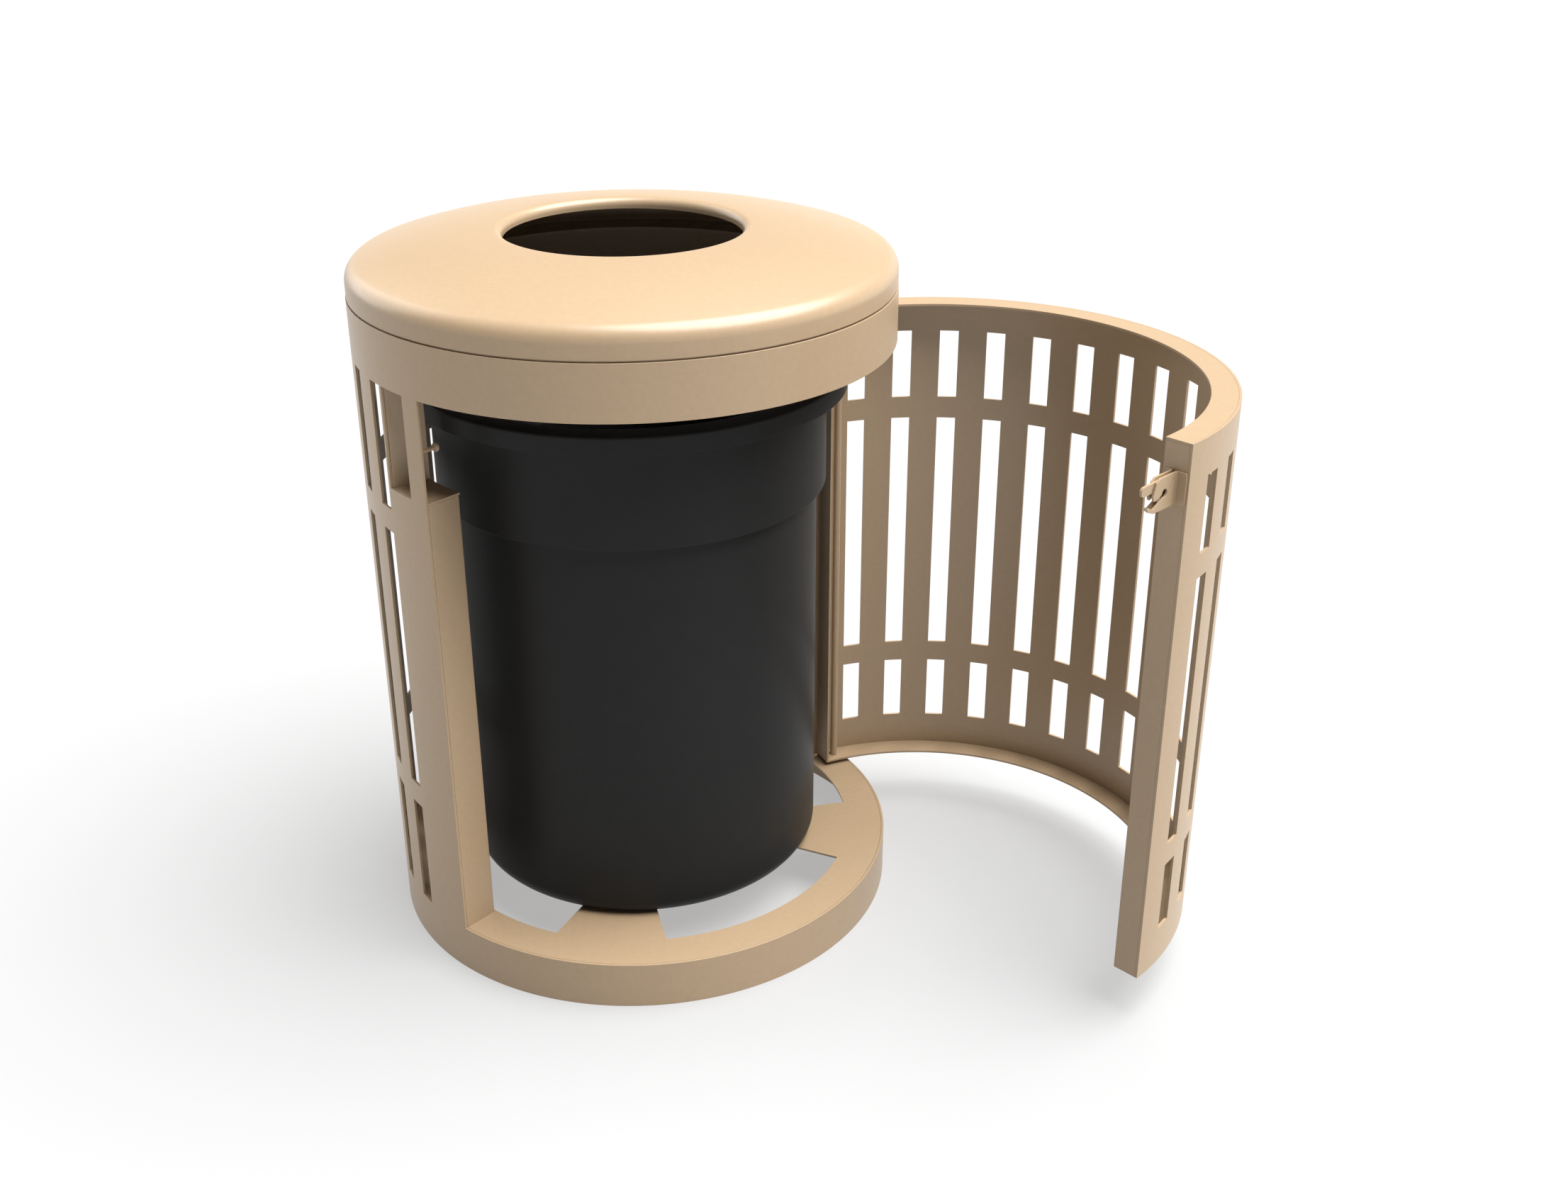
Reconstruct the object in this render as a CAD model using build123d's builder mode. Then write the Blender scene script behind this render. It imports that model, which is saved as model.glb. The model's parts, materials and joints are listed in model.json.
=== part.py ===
from build123d import *
import os
from math import atan2, cos, degrees, hypot, radians, sin, sqrt

os.makedirs("parts", exist_ok=True)

# Outdoor trash receptacle: a round sheet-metal cabinet with a swinging door, a spun
# lid and a loose plastic liner. Millimetres. The origin is on the floor, on the
# cabinet's own axis. +Z is up, -Y is the front. Plan angles are in degrees about
# that axis, counter-clockwise from +X.

# Rolled cabinet wall, plain at the base band and at the header band
body_radius = 346.0
wall = 3.4
plate = 3.0
weld_gap = 0.2
base_height = 64.4
header_bottom = 798.0
header_height = 69.7

# Doorway, from the latch jamb round the front to the hinge jamb
latch_jamb_angle = -134.85
hinge_jamb_angle = 31.35
jamb_depth = 48.4
jamb_return_angle = 5.0

# Slots: three rows, in columns of equal pitch
slot_pitch_angle = 11.0
slot_width = 26.3
middle_slot_bottom = 247.7
middle_slot_top = 608.8
slot_bridge = 31.2
wall_slot_first_angle = 44.75
wall_slot_count = 16

# Latch column, the pocket on top of it and the hand window in the wall
column_back_angle = -146.87
window_back_angle = -147.25
window_front_angle = -139.5
pocket_depth = 41.8

# Base plate: its rim, its webs and the drain openings between them
rim_width = 49.7
web_first_angle = -100.6
web_count = 4
web_rim_half_angle = 14.4
web_hub_half_angle = 12.4
hub_radius = 205.0

# Door: shut, it lies in the doorway at the wall's own radius
door_latch_angle = -131.55
door_hinge_angle = 29.85
door_open_angle = 81.0
door_floor_gap = 2.0
door_head_gap = 12.6
door_flange_width = 31.9
door_flange_lift = 3.7
door_slot_first_angle = 20.65
door_slot_count = 14
door_top_band = 47.5
door_bottom_band = 54.7
door_edge_round = 3.2

# Pivot rod, its nuts, and the thin nut and washer that the door stands on
pivot_angle = 26.47
pivot_inset = 16.0
rod_radius = 5.0
running_clearance = 0.08
nut_across_flats = 17.0
nut_height = 8.0
rod_end_length = 3.0
rest_nut_across_flats = 14.0
washer_radius = 8.0
washer_height = 1.5
washer_play = 0.1

# Lid: short skirt, rounded shoulder, shallow crown and a rolled-in mouth
lid_inset = 0.7
lid_wall = 2.5
lid_seam = 2.4
lid_skirt_height = 17.6
lid_shoulder_radius = 21.9
lid_shoulder_turn = 72.6
lid_crown_radius = 657.8
mouth_radius = 150.6
mouth_roll = 9.9
mouth_lip = 4.0

# Ring that the lid sits on, the upright ring that closes the seam under the lid's skirt,
# and the tabs, bolts and nuts that hold the lid down
lid_seat_width = 57.4
collar_height = 17.0
tab_count = 4
tab_first_angle = 45.0
tab_width = 32.0
tab_reach = 26.0
lid_bolt_radius = 4.0
lid_bolt_hole_clearance = 0.3
lid_bolt_across_flats = 13.0
lid_bolt_head_height = 5.0
lid_nut_height = 6.5
lid_bolt_tail = 2.5

# Liner: one moulded tub with a step and a turned-down rim
liner_wall = 3.2
liner_height = 695.8
liner_foot_radius = 243.5
liner_draft = 0.9
liner_step = 12.3
liner_step_height = 540.0
liner_rim_width = 27.0
liner_rim_drop = 24.9
liner_corner_radius = 26.8
liner_rim_round = 4.0

# Latch brackets: bent sheet, measured out from the door's end and up from their foot
latch_drop = 74.1
bracket_height = 39.3
bracket_metal = 2.5
bracket_inset = 11.5
bracket_spacing = 6.6
outer_foot = 14.8
inner_foot = 11.2
foot_round = 2.5
blade_reach = 46.0
blade_top_reach = 35.0
blade_shoulder_drop = 4.2
blade_shoulder_reach = 41.0
jaw_reach = 44.0
jaw_rise = 13.7
jaw_round = 2.0
lip_bend_reach = 43.0
outer_lip_reach = 55.0
outer_lip_rise = 10.0
outer_lip_round = 2.2
inner_lip_reach = 49.5
inner_lip_rise = 7.0
inner_lip_round = 1.4
slot_foot_reach = 44.5
slot_foot_rise = 5.6
keyhole_reach = 24.2
keyhole_rise = 19.6
keyhole_radius = 4.9
neck_floor_rise = 15.3
neck_roof_rise = 20.2

# Thumb lever between the brackets, its pin, and the headed stud on the cabinet
pin_radius = 2.5
lever_thickness = 3.2
lever_pivot_reach = 10.0
lever_pivot_rise = 30.7
lever_eye_radius = 6.0
lever_nose_reach = 65.0
lever_nose_floor = 23.6
lever_nose_height = 11.4
lever_nose_round = 5.2
lever_waist_reach = 41.0
lever_waist_rise = 19.0
tooth_width = 5.8
tooth_rise = 10.7
tooth_clearance = 0.6
stud_radius = 2.5
stud_roof_gap = 0.1
stud_head_radius = 5.5
stud_head_length = 5.5
stud_head_gap = 0.4
stud_head_round = 2.4

# Radii and heights that follow from these
inner_radius = body_radius - wall
seat_radius = inner_radius - weld_gap
jamb_radius = seat_radius - jamb_depth
header_top = header_bottom + header_height
door_bottom = base_height + door_floor_gap
door_top = header_bottom - door_head_gap
door_flange_radius = seat_radius - door_flange_width
door_flange_bottom = door_bottom + door_flange_lift
bracket_bottom = door_top - latch_drop
shelf_height = bracket_bottom - pocket_depth
pivot_radius = inner_radius - pivot_inset
bore_radius = rod_radius + running_clearance
lid_radius = body_radius - lid_inset
collar_radius = lid_radius - lid_wall - weld_gap
tab_radius = collar_radius - plate - weld_gap
bolt_circle = tab_radius - tab_reach / 2


def polar(radius, angle):
    """A plan point from its radius and plan angle."""
    return (radius * cos(radians(angle)), radius * sin(radians(angle)))


def ring_sector(inner, outer, start, end, mode=Mode.ADD):
    """A flat piece of a ring between two radii and two plan angles."""
    with BuildLine(mode=Mode.PRIVATE) as edge:
        outside = CenterArc((0, 0), outer, start, end - start)
        inside = CenterArc((0, 0), inner, start, end - start)
        Line(inside @ 0, outside @ 0)
        Line(inside @ 1, outside @ 1)
    return make_face(edge.edges(), mode=mode)


def radial_strip(inner, outer, angle, side, mode=Mode.ADD):
    """The plan of a plate with one face on the ray at this angle, side +1 or -1 of it."""
    x, y = polar((inner + outer) / 2, angle)
    dx, dy = polar(side * plate / 2, angle + 90)
    with Locations((x + dx, y + dy)):
        return Rectangle(outer - inner, plate, rotation=angle, mode=mode)


# The door turns about the pivot rod, so its own centre goes round the rod with it.
pivot_x, pivot_y = polar(pivot_radius, pivot_angle)
turned_x, turned_y = polar(pivot_radius, pivot_angle + door_open_angle)
door_centre = (pivot_x - turned_x, pivot_y - turned_y)
door_plane = Plane(origin=(*door_centre, 0), x_dir=(*polar(1, door_open_angle), 0))
door_pivot = (pivot_x, pivot_y)

# Heights of the rows of slots
rows = (
    (base_height, middle_slot_bottom - slot_bridge),
    (middle_slot_bottom, middle_slot_top),
    (middle_slot_top + slot_bridge, header_bottom),
)
door_rows = (
    (door_bottom + door_bottom_band, rows[0][1]),
    rows[1],
    (rows[2][0], door_top - door_top_band),
)


def cut_slots(row_heights, first, step, count):
    """Cut a row of upright slots for each pair of heights, at equal plan angles."""
    for low, high in row_heights:
        with Locations((0, 0, (low + high) / 2)):
            with PolarLocations(body_radius, count, first, step * (count - 1), endpoint=True):
                Box(4 * wall, slot_width, high - low, mode=Mode.SUBTRACT)


def rolled_ring(low, high):
    """A full ring of the cabinet's own sheet between two heights."""
    with BuildPart(mode=Mode.PRIVATE) as ring:
        with BuildSketch(Plane.XY.offset(low)):
            Circle(body_radius)
            Circle(inner_radius, mode=Mode.SUBTRACT)
        extrude(amount=high - low)
    return ring.part


# Base band: the plain foot of the cabinet, a full ring
with BuildPart() as base_band:
    add(rolled_ring(0, base_height))
base_band.part.label = "base_band"

# Cabinet wall: rolled sheet round the sides and back, with the hand window and the slots cut out
with BuildPart() as cabinet_wall:
    add(rolled_ring(base_height, header_bottom))
    with BuildSketch(Plane.XY.offset(base_height)):
        ring_sector(inner_radius - wall, body_radius + wall, latch_jamb_angle, hinge_jamb_angle)
    extrude(amount=header_bottom - base_height, mode=Mode.SUBTRACT)
    with BuildSketch(Plane.XY.offset(shelf_height)):
        ring_sector(inner_radius - wall, body_radius + wall, window_back_angle, window_front_angle)
    extrude(amount=header_bottom - shelf_height, mode=Mode.SUBTRACT)
    cut_slots(rows, wall_slot_first_angle, slot_pitch_angle, wall_slot_count)
cabinet_wall.part.label = "cabinet_wall"

# Header band: the plain top of the cabinet, a full ring over the doorway
with BuildPart() as header_band:
    add(rolled_ring(header_bottom, header_top))
header_band.part.label = "header_band"

# Base plate: rim, four webs and the middle disc that the liner stands on
with BuildPart() as base_plate:
    with BuildSketch(Plane.XY.offset(base_height - plate)):
        Circle(seat_radius)
        for web in range(web_count):
            start = web_first_angle + web * 360 / web_count
            end = start + 360 / web_count
            with BuildLine(mode=Mode.PRIVATE) as drain:
                rim_turn = end - start - 2 * web_rim_half_angle
                hub_turn = end - start - 2 * web_hub_half_angle
                rim = CenterArc((0, 0), seat_radius - rim_width, start + web_rim_half_angle, rim_turn)
                hub = CenterArc((0, 0), hub_radius, start + web_hub_half_angle, hub_turn)
                Line(hub @ 0, rim @ 0)
                Line(hub @ 1, rim @ 1)
            make_face(drain.edges(), mode=Mode.SUBTRACT)
        with Locations(door_pivot):
            Circle(bore_radius, mode=Mode.SUBTRACT)
    extrude(amount=plate)
base_plate.part.label = "base_plate"

# Ring inside the foot of the header, which stiffens it and holds the rod's top
with BuildPart() as header_foot_ring:
    with BuildSketch(Plane.XY.offset(header_bottom)):
        Circle(seat_radius)
        Circle(jamb_radius, mode=Mode.SUBTRACT)
        with Locations(door_pivot):
            Circle(bore_radius, mode=Mode.SUBTRACT)
    extrude(amount=plate)
header_foot_ring.part.label = "header_foot_ring"

# Ring flush with the header's top, the lid's seat, with a hole for each lid bolt
with BuildPart() as lid_seat_ring:
    with BuildSketch(Plane.XY.offset(header_top - wall)):
        Circle(seat_radius)
        Circle(seat_radius - lid_seat_width, mode=Mode.SUBTRACT)
        with PolarLocations(bolt_circle, tab_count, tab_first_angle):
            Circle(lid_bolt_radius + lid_bolt_hole_clearance, mode=Mode.SUBTRACT)
    extrude(amount=wall)
lid_seat_ring.part.label = "lid_seat_ring"

# Latch column: a bent front and inner wall below the pocket's shelf
with BuildPart() as latch_column:
    with BuildSketch(Plane.XY.offset(base_height)):
        ring_sector(jamb_radius, jamb_radius + plate, column_back_angle, latch_jamb_angle)
        radial_strip(jamb_radius, seat_radius, latch_jamb_angle, -1)
    extrude(amount=shelf_height - plate - base_height)
latch_column.part.label = "latch_column"

# Plate that closes the column and the pocket at the back, up to the header ring
with BuildPart() as pocket_back_plate:
    with BuildSketch(Plane.XY.offset(base_height)):
        radial_strip(jamb_radius, seat_radius, column_back_angle, -1)
    extrude(amount=header_bottom - base_height)
pocket_back_plate.part.label = "pocket_back_plate"

# Shelf on top of the column, the floor of the pocket behind the hand window
with BuildPart() as pocket_shelf:
    with BuildSketch(Plane.XY.offset(shelf_height - plate)):
        ring_sector(jamb_radius, seat_radius, column_back_angle, latch_jamb_angle)
    extrude(amount=plate)
pocket_shelf.part.label = "pocket_shelf"

# Hinge jamb: a radial plate with a return along its inner edge
jamb_return_end = hinge_jamb_angle + jamb_return_angle
with BuildPart() as hinge_jamb:
    with BuildSketch(Plane.XY.offset(base_height)):
        radial_strip(jamb_radius, seat_radius, hinge_jamb_angle, 1)
        ring_sector(jamb_radius, jamb_radius + plate, hinge_jamb_angle, jamb_return_end)
    extrude(amount=header_bottom - base_height)
hinge_jamb.part.label = "hinge_jamb"

# Pivot rod, fixed in the cabinet between the base plate and the header ring
rod_bottom = base_height - plate - nut_height - rod_end_length
rod_top = header_bottom + plate + nut_height + rod_end_length
with BuildPart() as pivot_rod:
    with BuildSketch(Plane.XY.offset(rod_bottom)):
        with Locations(door_pivot):
            Circle(rod_radius)
    extrude(amount=rod_top - rod_bottom)
pivot_rod.part.label = "pivot_rod"

# One nut below the base plate and one above the header ring
with BuildPart() as pivot_nuts:
    for nut_foot in (base_height - plate - nut_height, header_bottom + plate):
        with BuildSketch(Plane.XY.offset(nut_foot)):
            with Locations(door_pivot):
                RegularPolygon(nut_across_flats / 2, 6, major_radius=False)
                Circle(bore_radius, mode=Mode.SUBTRACT)
        extrude(amount=nut_height)
pivot_nuts.part.label = "pivot_nuts"

# Thin nut on the base plate and the washer on it, under the door's lower flange
washer_foot = door_flange_bottom - washer_play - washer_height
with BuildPart() as rest_nut:
    with BuildSketch(Plane.XY.offset(base_height)):
        with Locations(door_pivot):
            RegularPolygon(rest_nut_across_flats / 2, 6, major_radius=False)
            Circle(bore_radius, mode=Mode.SUBTRACT)
    extrude(amount=washer_foot - base_height)
rest_nut.part.label = "rest_nut"

with BuildPart() as rest_washer:
    with BuildSketch(Plane.XY.offset(washer_foot)):
        with Locations(door_pivot):
            Circle(washer_radius)
            Circle(bore_radius, mode=Mode.SUBTRACT)
    extrude(amount=washer_height)
rest_washer.part.label = "rest_washer"

# Door skin, drawn shut on the door's own plane, which stands at the open angle
with BuildPart(door_plane) as door_skin:
    with BuildSketch(door_plane.offset(door_bottom)):
        ring_sector(inner_radius, body_radius, door_latch_angle, door_hinge_angle)
    extrude(amount=door_top - door_bottom)
    hinge_corner = door_plane.from_local_coords((*polar(body_radius, door_hinge_angle), 0))
    corner_edge = door_skin.edges().filter_by(Axis.Z).sort_by(
        lambda edge: hypot(edge.center().X - hinge_corner.X, edge.center().Y - hinge_corner.Y)
    )[0]
    fillet(corner_edge, min(door_edge_round, 0.95 * wall))
    cut_slots(door_rows, door_slot_first_angle, -slot_pitch_angle, door_slot_count)
door_skin.part.label = "door_skin"

# Flat curved flanges along the top and the foot of the door
with BuildPart() as door_top_flange:
    with BuildSketch(door_plane.offset(door_top - plate)):
        ring_sector(door_flange_radius, seat_radius, door_latch_angle, door_hinge_angle)
        with Locations(polar(pivot_radius, pivot_angle)):
            Circle(bore_radius, mode=Mode.SUBTRACT)
    extrude(amount=plate)
door_top_flange.part.label = "door_top_flange"

with BuildPart() as door_bottom_flange:
    with BuildSketch(door_plane.offset(door_flange_bottom)):
        ring_sector(door_flange_radius, seat_radius, door_latch_angle, door_hinge_angle)
        radial_strip(door_flange_radius, seat_radius, door_latch_angle, 1, mode=Mode.SUBTRACT)
        with Locations(polar(pivot_radius, pivot_angle)):
            Circle(bore_radius, mode=Mode.SUBTRACT)
    extrude(amount=plate)
door_bottom_flange.part.label = "door_bottom_flange"

# End plates of the door, one at the latch and one beside the rod
with BuildPart() as door_latch_plate:
    with BuildSketch(door_plane.offset(door_bottom)):
        radial_strip(door_flange_radius, seat_radius, door_latch_angle, 1)
    extrude(amount=door_top - plate - door_bottom)
door_latch_plate.part.label = "door_latch_plate"

with BuildPart() as door_hinge_plate:
    with BuildSketch(door_plane.offset(door_flange_bottom + plate)):
        radial_strip(door_flange_radius, seat_radius, door_hinge_angle, -1)
    extrude(amount=door_top - plate - door_flange_bottom - plate)
door_hinge_plate.part.label = "door_hinge_plate"


def latch_plane(centre, end_angle, radius):
    """An upright plane square to the door's latch end: x runs out of the end, y is up."""
    across_x, across_y = polar(1, end_angle)
    origin = (centre[0] + radius * across_x, centre[1] + radius * across_y, bracket_bottom)
    return Plane(origin=origin, x_dir=(across_y, -across_x, 0), z_dir=(-across_x, -across_y, 0))


open_end_angle = door_latch_angle + door_open_angle
outer_bracket_radius = inner_radius - bracket_inset
inner_bracket_radius = outer_bracket_radius - bracket_spacing


def bracket(radius, foot, foot_align, lip_reach, lip_rise, lip_round):
    """A bent bracket: an upright blade with a hooked keyhole slot, and a foot on the door's end."""
    face = latch_plane(door_centre, open_end_angle, radius)
    foot_face = Plane(origin=face.origin, x_dir=-face.z_dir, z_dir=face.x_dir)
    with BuildPart() as bent:
        with BuildSketch(face) as blade:
            with BuildLine():
                Polyline(
                    (0, 0),
                    (lip_bend_reach, 0),
                    (lip_reach, lip_rise / 2),
                    (lip_reach, lip_rise),
                    (slot_foot_reach, slot_foot_rise),
                    (keyhole_reach, neck_floor_rise),
                    (keyhole_reach, neck_roof_rise),
                    (jaw_reach, jaw_rise),
                    (blade_reach, neck_roof_rise),
                    (blade_shoulder_reach, bracket_height - blade_shoulder_drop),
                    (blade_top_reach, bracket_height),
                    (0, bracket_height),
                    close=True,
                )
            make_face()
            for corner, corner_round in (
                ((lip_reach, lip_rise / 2), lip_round),
                ((lip_reach, lip_rise), lip_round),
                ((slot_foot_reach, slot_foot_rise), lip_round),
                ((jaw_reach, jaw_rise), jaw_round),
                ((blade_reach, neck_roof_rise), jaw_round),
            ):
                fillet(blade.vertices().sort_by_distance(corner)[0], corner_round)
            with Locations((keyhole_reach, keyhole_rise)):
                Circle(keyhole_radius, mode=Mode.SUBTRACT)
            with Locations((lever_pivot_reach, lever_pivot_rise)):
                Circle(pin_radius + running_clearance / 2, mode=Mode.SUBTRACT)
        extrude(amount=bracket_metal)
        with BuildSketch(foot_face) as foot_outline:
            with Locations((-bracket_metal if foot_align == Align.MIN else 0, 0)):
                Rectangle(foot, bracket_height, align=(foot_align, Align.MIN))
            far_end = foot_outline.vertices().group_by(Axis.X)[-1 if foot_align == Align.MIN else 0]
            fillet(far_end, foot_round)
        extrude(amount=bracket_metal)
    return bent


latch_bracket_outer = bracket(
    outer_bracket_radius, outer_foot, Align.MIN, outer_lip_reach, outer_lip_rise, outer_lip_round
)
latch_bracket_outer.part.label = "latch_bracket_outer"
latch_bracket_inner = bracket(
    inner_bracket_radius, inner_foot, Align.MAX, inner_lip_reach, inner_lip_rise, inner_lip_round
)
latch_bracket_inner.part.label = "latch_bracket_inner"

# Thumb lever: an eye on the pin, a nose to lift and a tooth that shuts the slot
stud_rise = keyhole_rise + keyhole_radius - stud_roof_gap - stud_radius
tooth_back = keyhole_reach + stud_radius + tooth_clearance
keyhole_top = keyhole_rise + keyhole_radius
lever_side_play = (bracket_spacing - bracket_metal - lever_thickness) / 2
lever_radius = inner_bracket_radius + lever_side_play + lever_thickness
with BuildPart() as latch_lever:
    with BuildSketch(latch_plane(door_centre, open_end_angle, lever_radius)) as lever_outline:
        with BuildLine():
            Polyline(
                (lever_pivot_reach, keyhole_top),
                (tooth_back, keyhole_top),
                (tooth_back, tooth_rise),
                (tooth_back + tooth_width, tooth_rise),
                (lever_waist_reach, lever_waist_rise),
                (lever_waist_reach, lever_nose_floor),
                (lever_nose_reach, lever_nose_floor),
                (lever_nose_reach, lever_nose_floor + lever_nose_height),
                (lever_pivot_reach, lever_pivot_rise + lever_eye_radius),
                close=True,
            )
        make_face()
        fillet(lever_outline.vertices().group_by(Axis.X)[-1], lever_nose_round)
        with Locations((lever_pivot_reach, lever_pivot_rise)):
            Circle(lever_eye_radius)
            Circle(pin_radius + running_clearance, mode=Mode.SUBTRACT)
    extrude(amount=lever_thickness)
latch_lever.part.label = "latch_lever"

# Pin of the lever, flush with the outer faces of both brackets
with BuildPart() as latch_pin:
    with BuildSketch(latch_plane(door_centre, open_end_angle, outer_bracket_radius)):
        with Locations((lever_pivot_reach, lever_pivot_rise)):
            Circle(pin_radius)
    extrude(amount=bracket_spacing + bracket_metal)
latch_pin.part.label = "latch_pin"

# Headed stud on the cabinet wall, in line with the keyholes of the shut door
stud_root = sqrt(inner_radius ** 2 - keyhole_reach ** 2) - weld_gap
stud_head_face = inner_bracket_radius - bracket_metal - stud_head_gap
with BuildPart() as keeper_stud:
    with BuildSketch(latch_plane((0, 0), door_latch_angle, stud_root)):
        with Locations((keyhole_reach, stud_rise)):
            Circle(stud_radius)
    extrude(amount=stud_root - stud_head_face + stud_head_length / 2)
    with BuildSketch(latch_plane((0, 0), door_latch_angle, stud_head_face)):
        with Locations((keyhole_reach, stud_rise)):
            Circle(stud_head_radius)
    extrude(amount=stud_head_length)
    head_rims = keeper_stud.edges().filter_by(GeomType.CIRCLE).group_by(SortBy.RADIUS)[-1]
    fillet(head_rims, stud_head_round)
keeper_stud.part.label = "keeper_stud"

# Lid: the outer line of its section, thickened inwards and turned about the axis
lid_foot = header_top + lid_seam
lid_skirt_top = lid_foot + lid_skirt_height
shoulder_x = lid_radius - lid_shoulder_radius
crown_start_x = shoulder_x + lid_shoulder_radius * cos(radians(lid_shoulder_turn))
crown_start_z = lid_skirt_top + lid_shoulder_radius * sin(radians(lid_shoulder_turn))
crown_x = crown_start_x - lid_crown_radius * cos(radians(lid_shoulder_turn))
crown_z = crown_start_z - lid_crown_radius * sin(radians(lid_shoulder_turn))
roll_x = mouth_radius + mouth_roll
roll_z = crown_z + sqrt((lid_crown_radius - mouth_roll) ** 2 - (roll_x - crown_x) ** 2)
crown_end = degrees(atan2(roll_z - crown_z, roll_x - crown_x))
with BuildPart() as lid:
    with BuildSketch(Plane.XZ):
        with BuildLine():
            Line((lid_radius, lid_foot), (lid_radius, lid_skirt_top))
            CenterArc((shoulder_x, lid_skirt_top), lid_shoulder_radius, 0, lid_shoulder_turn)
            crown_turn = crown_end - lid_shoulder_turn
            CenterArc((crown_x, crown_z), lid_crown_radius, lid_shoulder_turn, crown_turn)
            roll = CenterArc((roll_x, roll_z), mouth_roll, crown_end, 180 - crown_end)
            Line(roll @ 1, roll @ 1 - Vector(0, mouth_lip))
            offset(amount=lid_wall, side=Side.LEFT)
        make_face()
    revolve(axis=Axis.Z)
lid.part.label = "lid"

# Upright ring between the lid's skirt and the tabs, it closes the seam below the skirt
with BuildPart() as lid_collar:
    with BuildSketch(Plane.XY.offset(header_top + weld_gap)):
        Circle(collar_radius)
        Circle(collar_radius - plate, mode=Mode.SUBTRACT)
    extrude(amount=collar_height)
lid_collar.part.label = "lid_collar"

# Bent tabs inside the upright ring: a level leg on the seat ring and an upright one
tab_leg = lid_seam + lid_skirt_height
with BuildPart() as lid_tabs:
    for n in range(tab_count):
        ray = Plane(origin=(0, 0, 0), x_dir=(*polar(1, tab_first_angle + n * 360 / tab_count), 0))
        with BuildSketch(ray.offset(header_top)):
            with Locations((bolt_circle, 0)):
                Rectangle(tab_reach, tab_width)
            Circle(tab_radius, mode=Mode.INTERSECT)
        extrude(amount=tab_leg)
        with BuildSketch(ray.offset(header_top + plate)):
            with Locations((bolt_circle - plate, 0)):
                Rectangle(tab_reach, tab_width)
        extrude(amount=tab_leg, mode=Mode.SUBTRACT)
        with BuildSketch(ray.offset(header_top)):
            with Locations((bolt_circle, 0)):
                Circle(lid_bolt_radius + lid_bolt_hole_clearance)
        extrude(amount=tab_leg, mode=Mode.SUBTRACT)
lid_tabs.part.label = "lid_tabs"

# Bolts down through the tabs and the ring, with a hex head on top and a nut below
bolt_seat = header_top + plate
lid_nut_foot = header_top - wall - lid_nut_height
with BuildPart() as lid_bolts:
    with BuildSketch(Plane.XY.offset(lid_nut_foot - lid_bolt_tail)):
        with PolarLocations(bolt_circle, tab_count, tab_first_angle):
            Circle(lid_bolt_radius)
    extrude(amount=bolt_seat - lid_nut_foot + lid_bolt_tail)
    with BuildSketch(Plane.XY.offset(bolt_seat)):
        with PolarLocations(bolt_circle, tab_count, tab_first_angle):
            RegularPolygon(lid_bolt_across_flats / 2, 6, major_radius=False)
    extrude(amount=lid_bolt_head_height)
lid_bolts.part.label = "lid_bolts"

with BuildPart() as lid_nuts:
    with BuildSketch(Plane.XY.offset(lid_nut_foot)):
        with PolarLocations(bolt_circle, tab_count, tab_first_angle):
            RegularPolygon(lid_bolt_across_flats / 2, 6, major_radius=False)
            Circle(lid_bolt_radius + running_clearance, mode=Mode.SUBTRACT)
    extrude(amount=lid_nut_height)
lid_nuts.part.label = "lid_nuts"

# Liner: the tub's section, hollowed by one wall thickness all round
liner_waist_radius = liner_foot_radius + liner_draft
liner_collar_radius = liner_waist_radius + liner_step
liner_rim_radius = liner_collar_radius + liner_rim_width
liner_floor = base_height + liner_wall
liner_step_z = base_height + liner_step_height
liner_top = base_height + liner_height
with BuildPart() as liner:
    with BuildSketch(Plane.XZ) as tub:
        with BuildLine():
            Polyline(
                (0, base_height),
                (liner_foot_radius, base_height),
                (liner_waist_radius, liner_step_z),
                (liner_collar_radius, liner_step_z),
                (liner_collar_radius, liner_top - liner_wall),
                (liner_rim_radius - liner_wall, liner_top - liner_wall),
                (liner_rim_radius - liner_wall, liner_top - liner_rim_drop),
                (liner_rim_radius, liner_top - liner_rim_drop),
                (liner_rim_radius, liner_top),
                (liner_collar_radius - liner_wall, liner_top),
                (liner_collar_radius - liner_wall, liner_step_z + liner_wall),
                (liner_waist_radius - liner_wall, liner_step_z + liner_wall),
                (liner_foot_radius - liner_wall, liner_floor),
                (0, liner_floor),
                close=True,
            )
        make_face()
        for corner, corner_radius in (
            ((liner_foot_radius, base_height), liner_corner_radius),
            ((liner_foot_radius - liner_wall, liner_floor), liner_corner_radius - liner_wall),
            ((liner_rim_radius, liner_top), liner_rim_round),
        ):
            fillet(tub.vertices().sort_by_distance(corner)[0], corner_radius)
    revolve(axis=Axis.Z)
liner.part.label = "liner"

for piece in (
    base_band, cabinet_wall, header_band, base_plate, header_foot_ring, lid_seat_ring,
    latch_column, pocket_back_plate, pocket_shelf, hinge_jamb, pivot_rod, pivot_nuts,
    rest_nut, rest_washer, keeper_stud,
    door_skin, door_top_flange, door_bottom_flange, door_latch_plate, door_hinge_plate,
    latch_bracket_outer, latch_bracket_inner, latch_pin, latch_lever,
    lid, lid_collar, lid_tabs, lid_bolts, lid_nuts, liner,
):
    export_step(piece.part, f"parts/{piece.part.label}.step")
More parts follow.
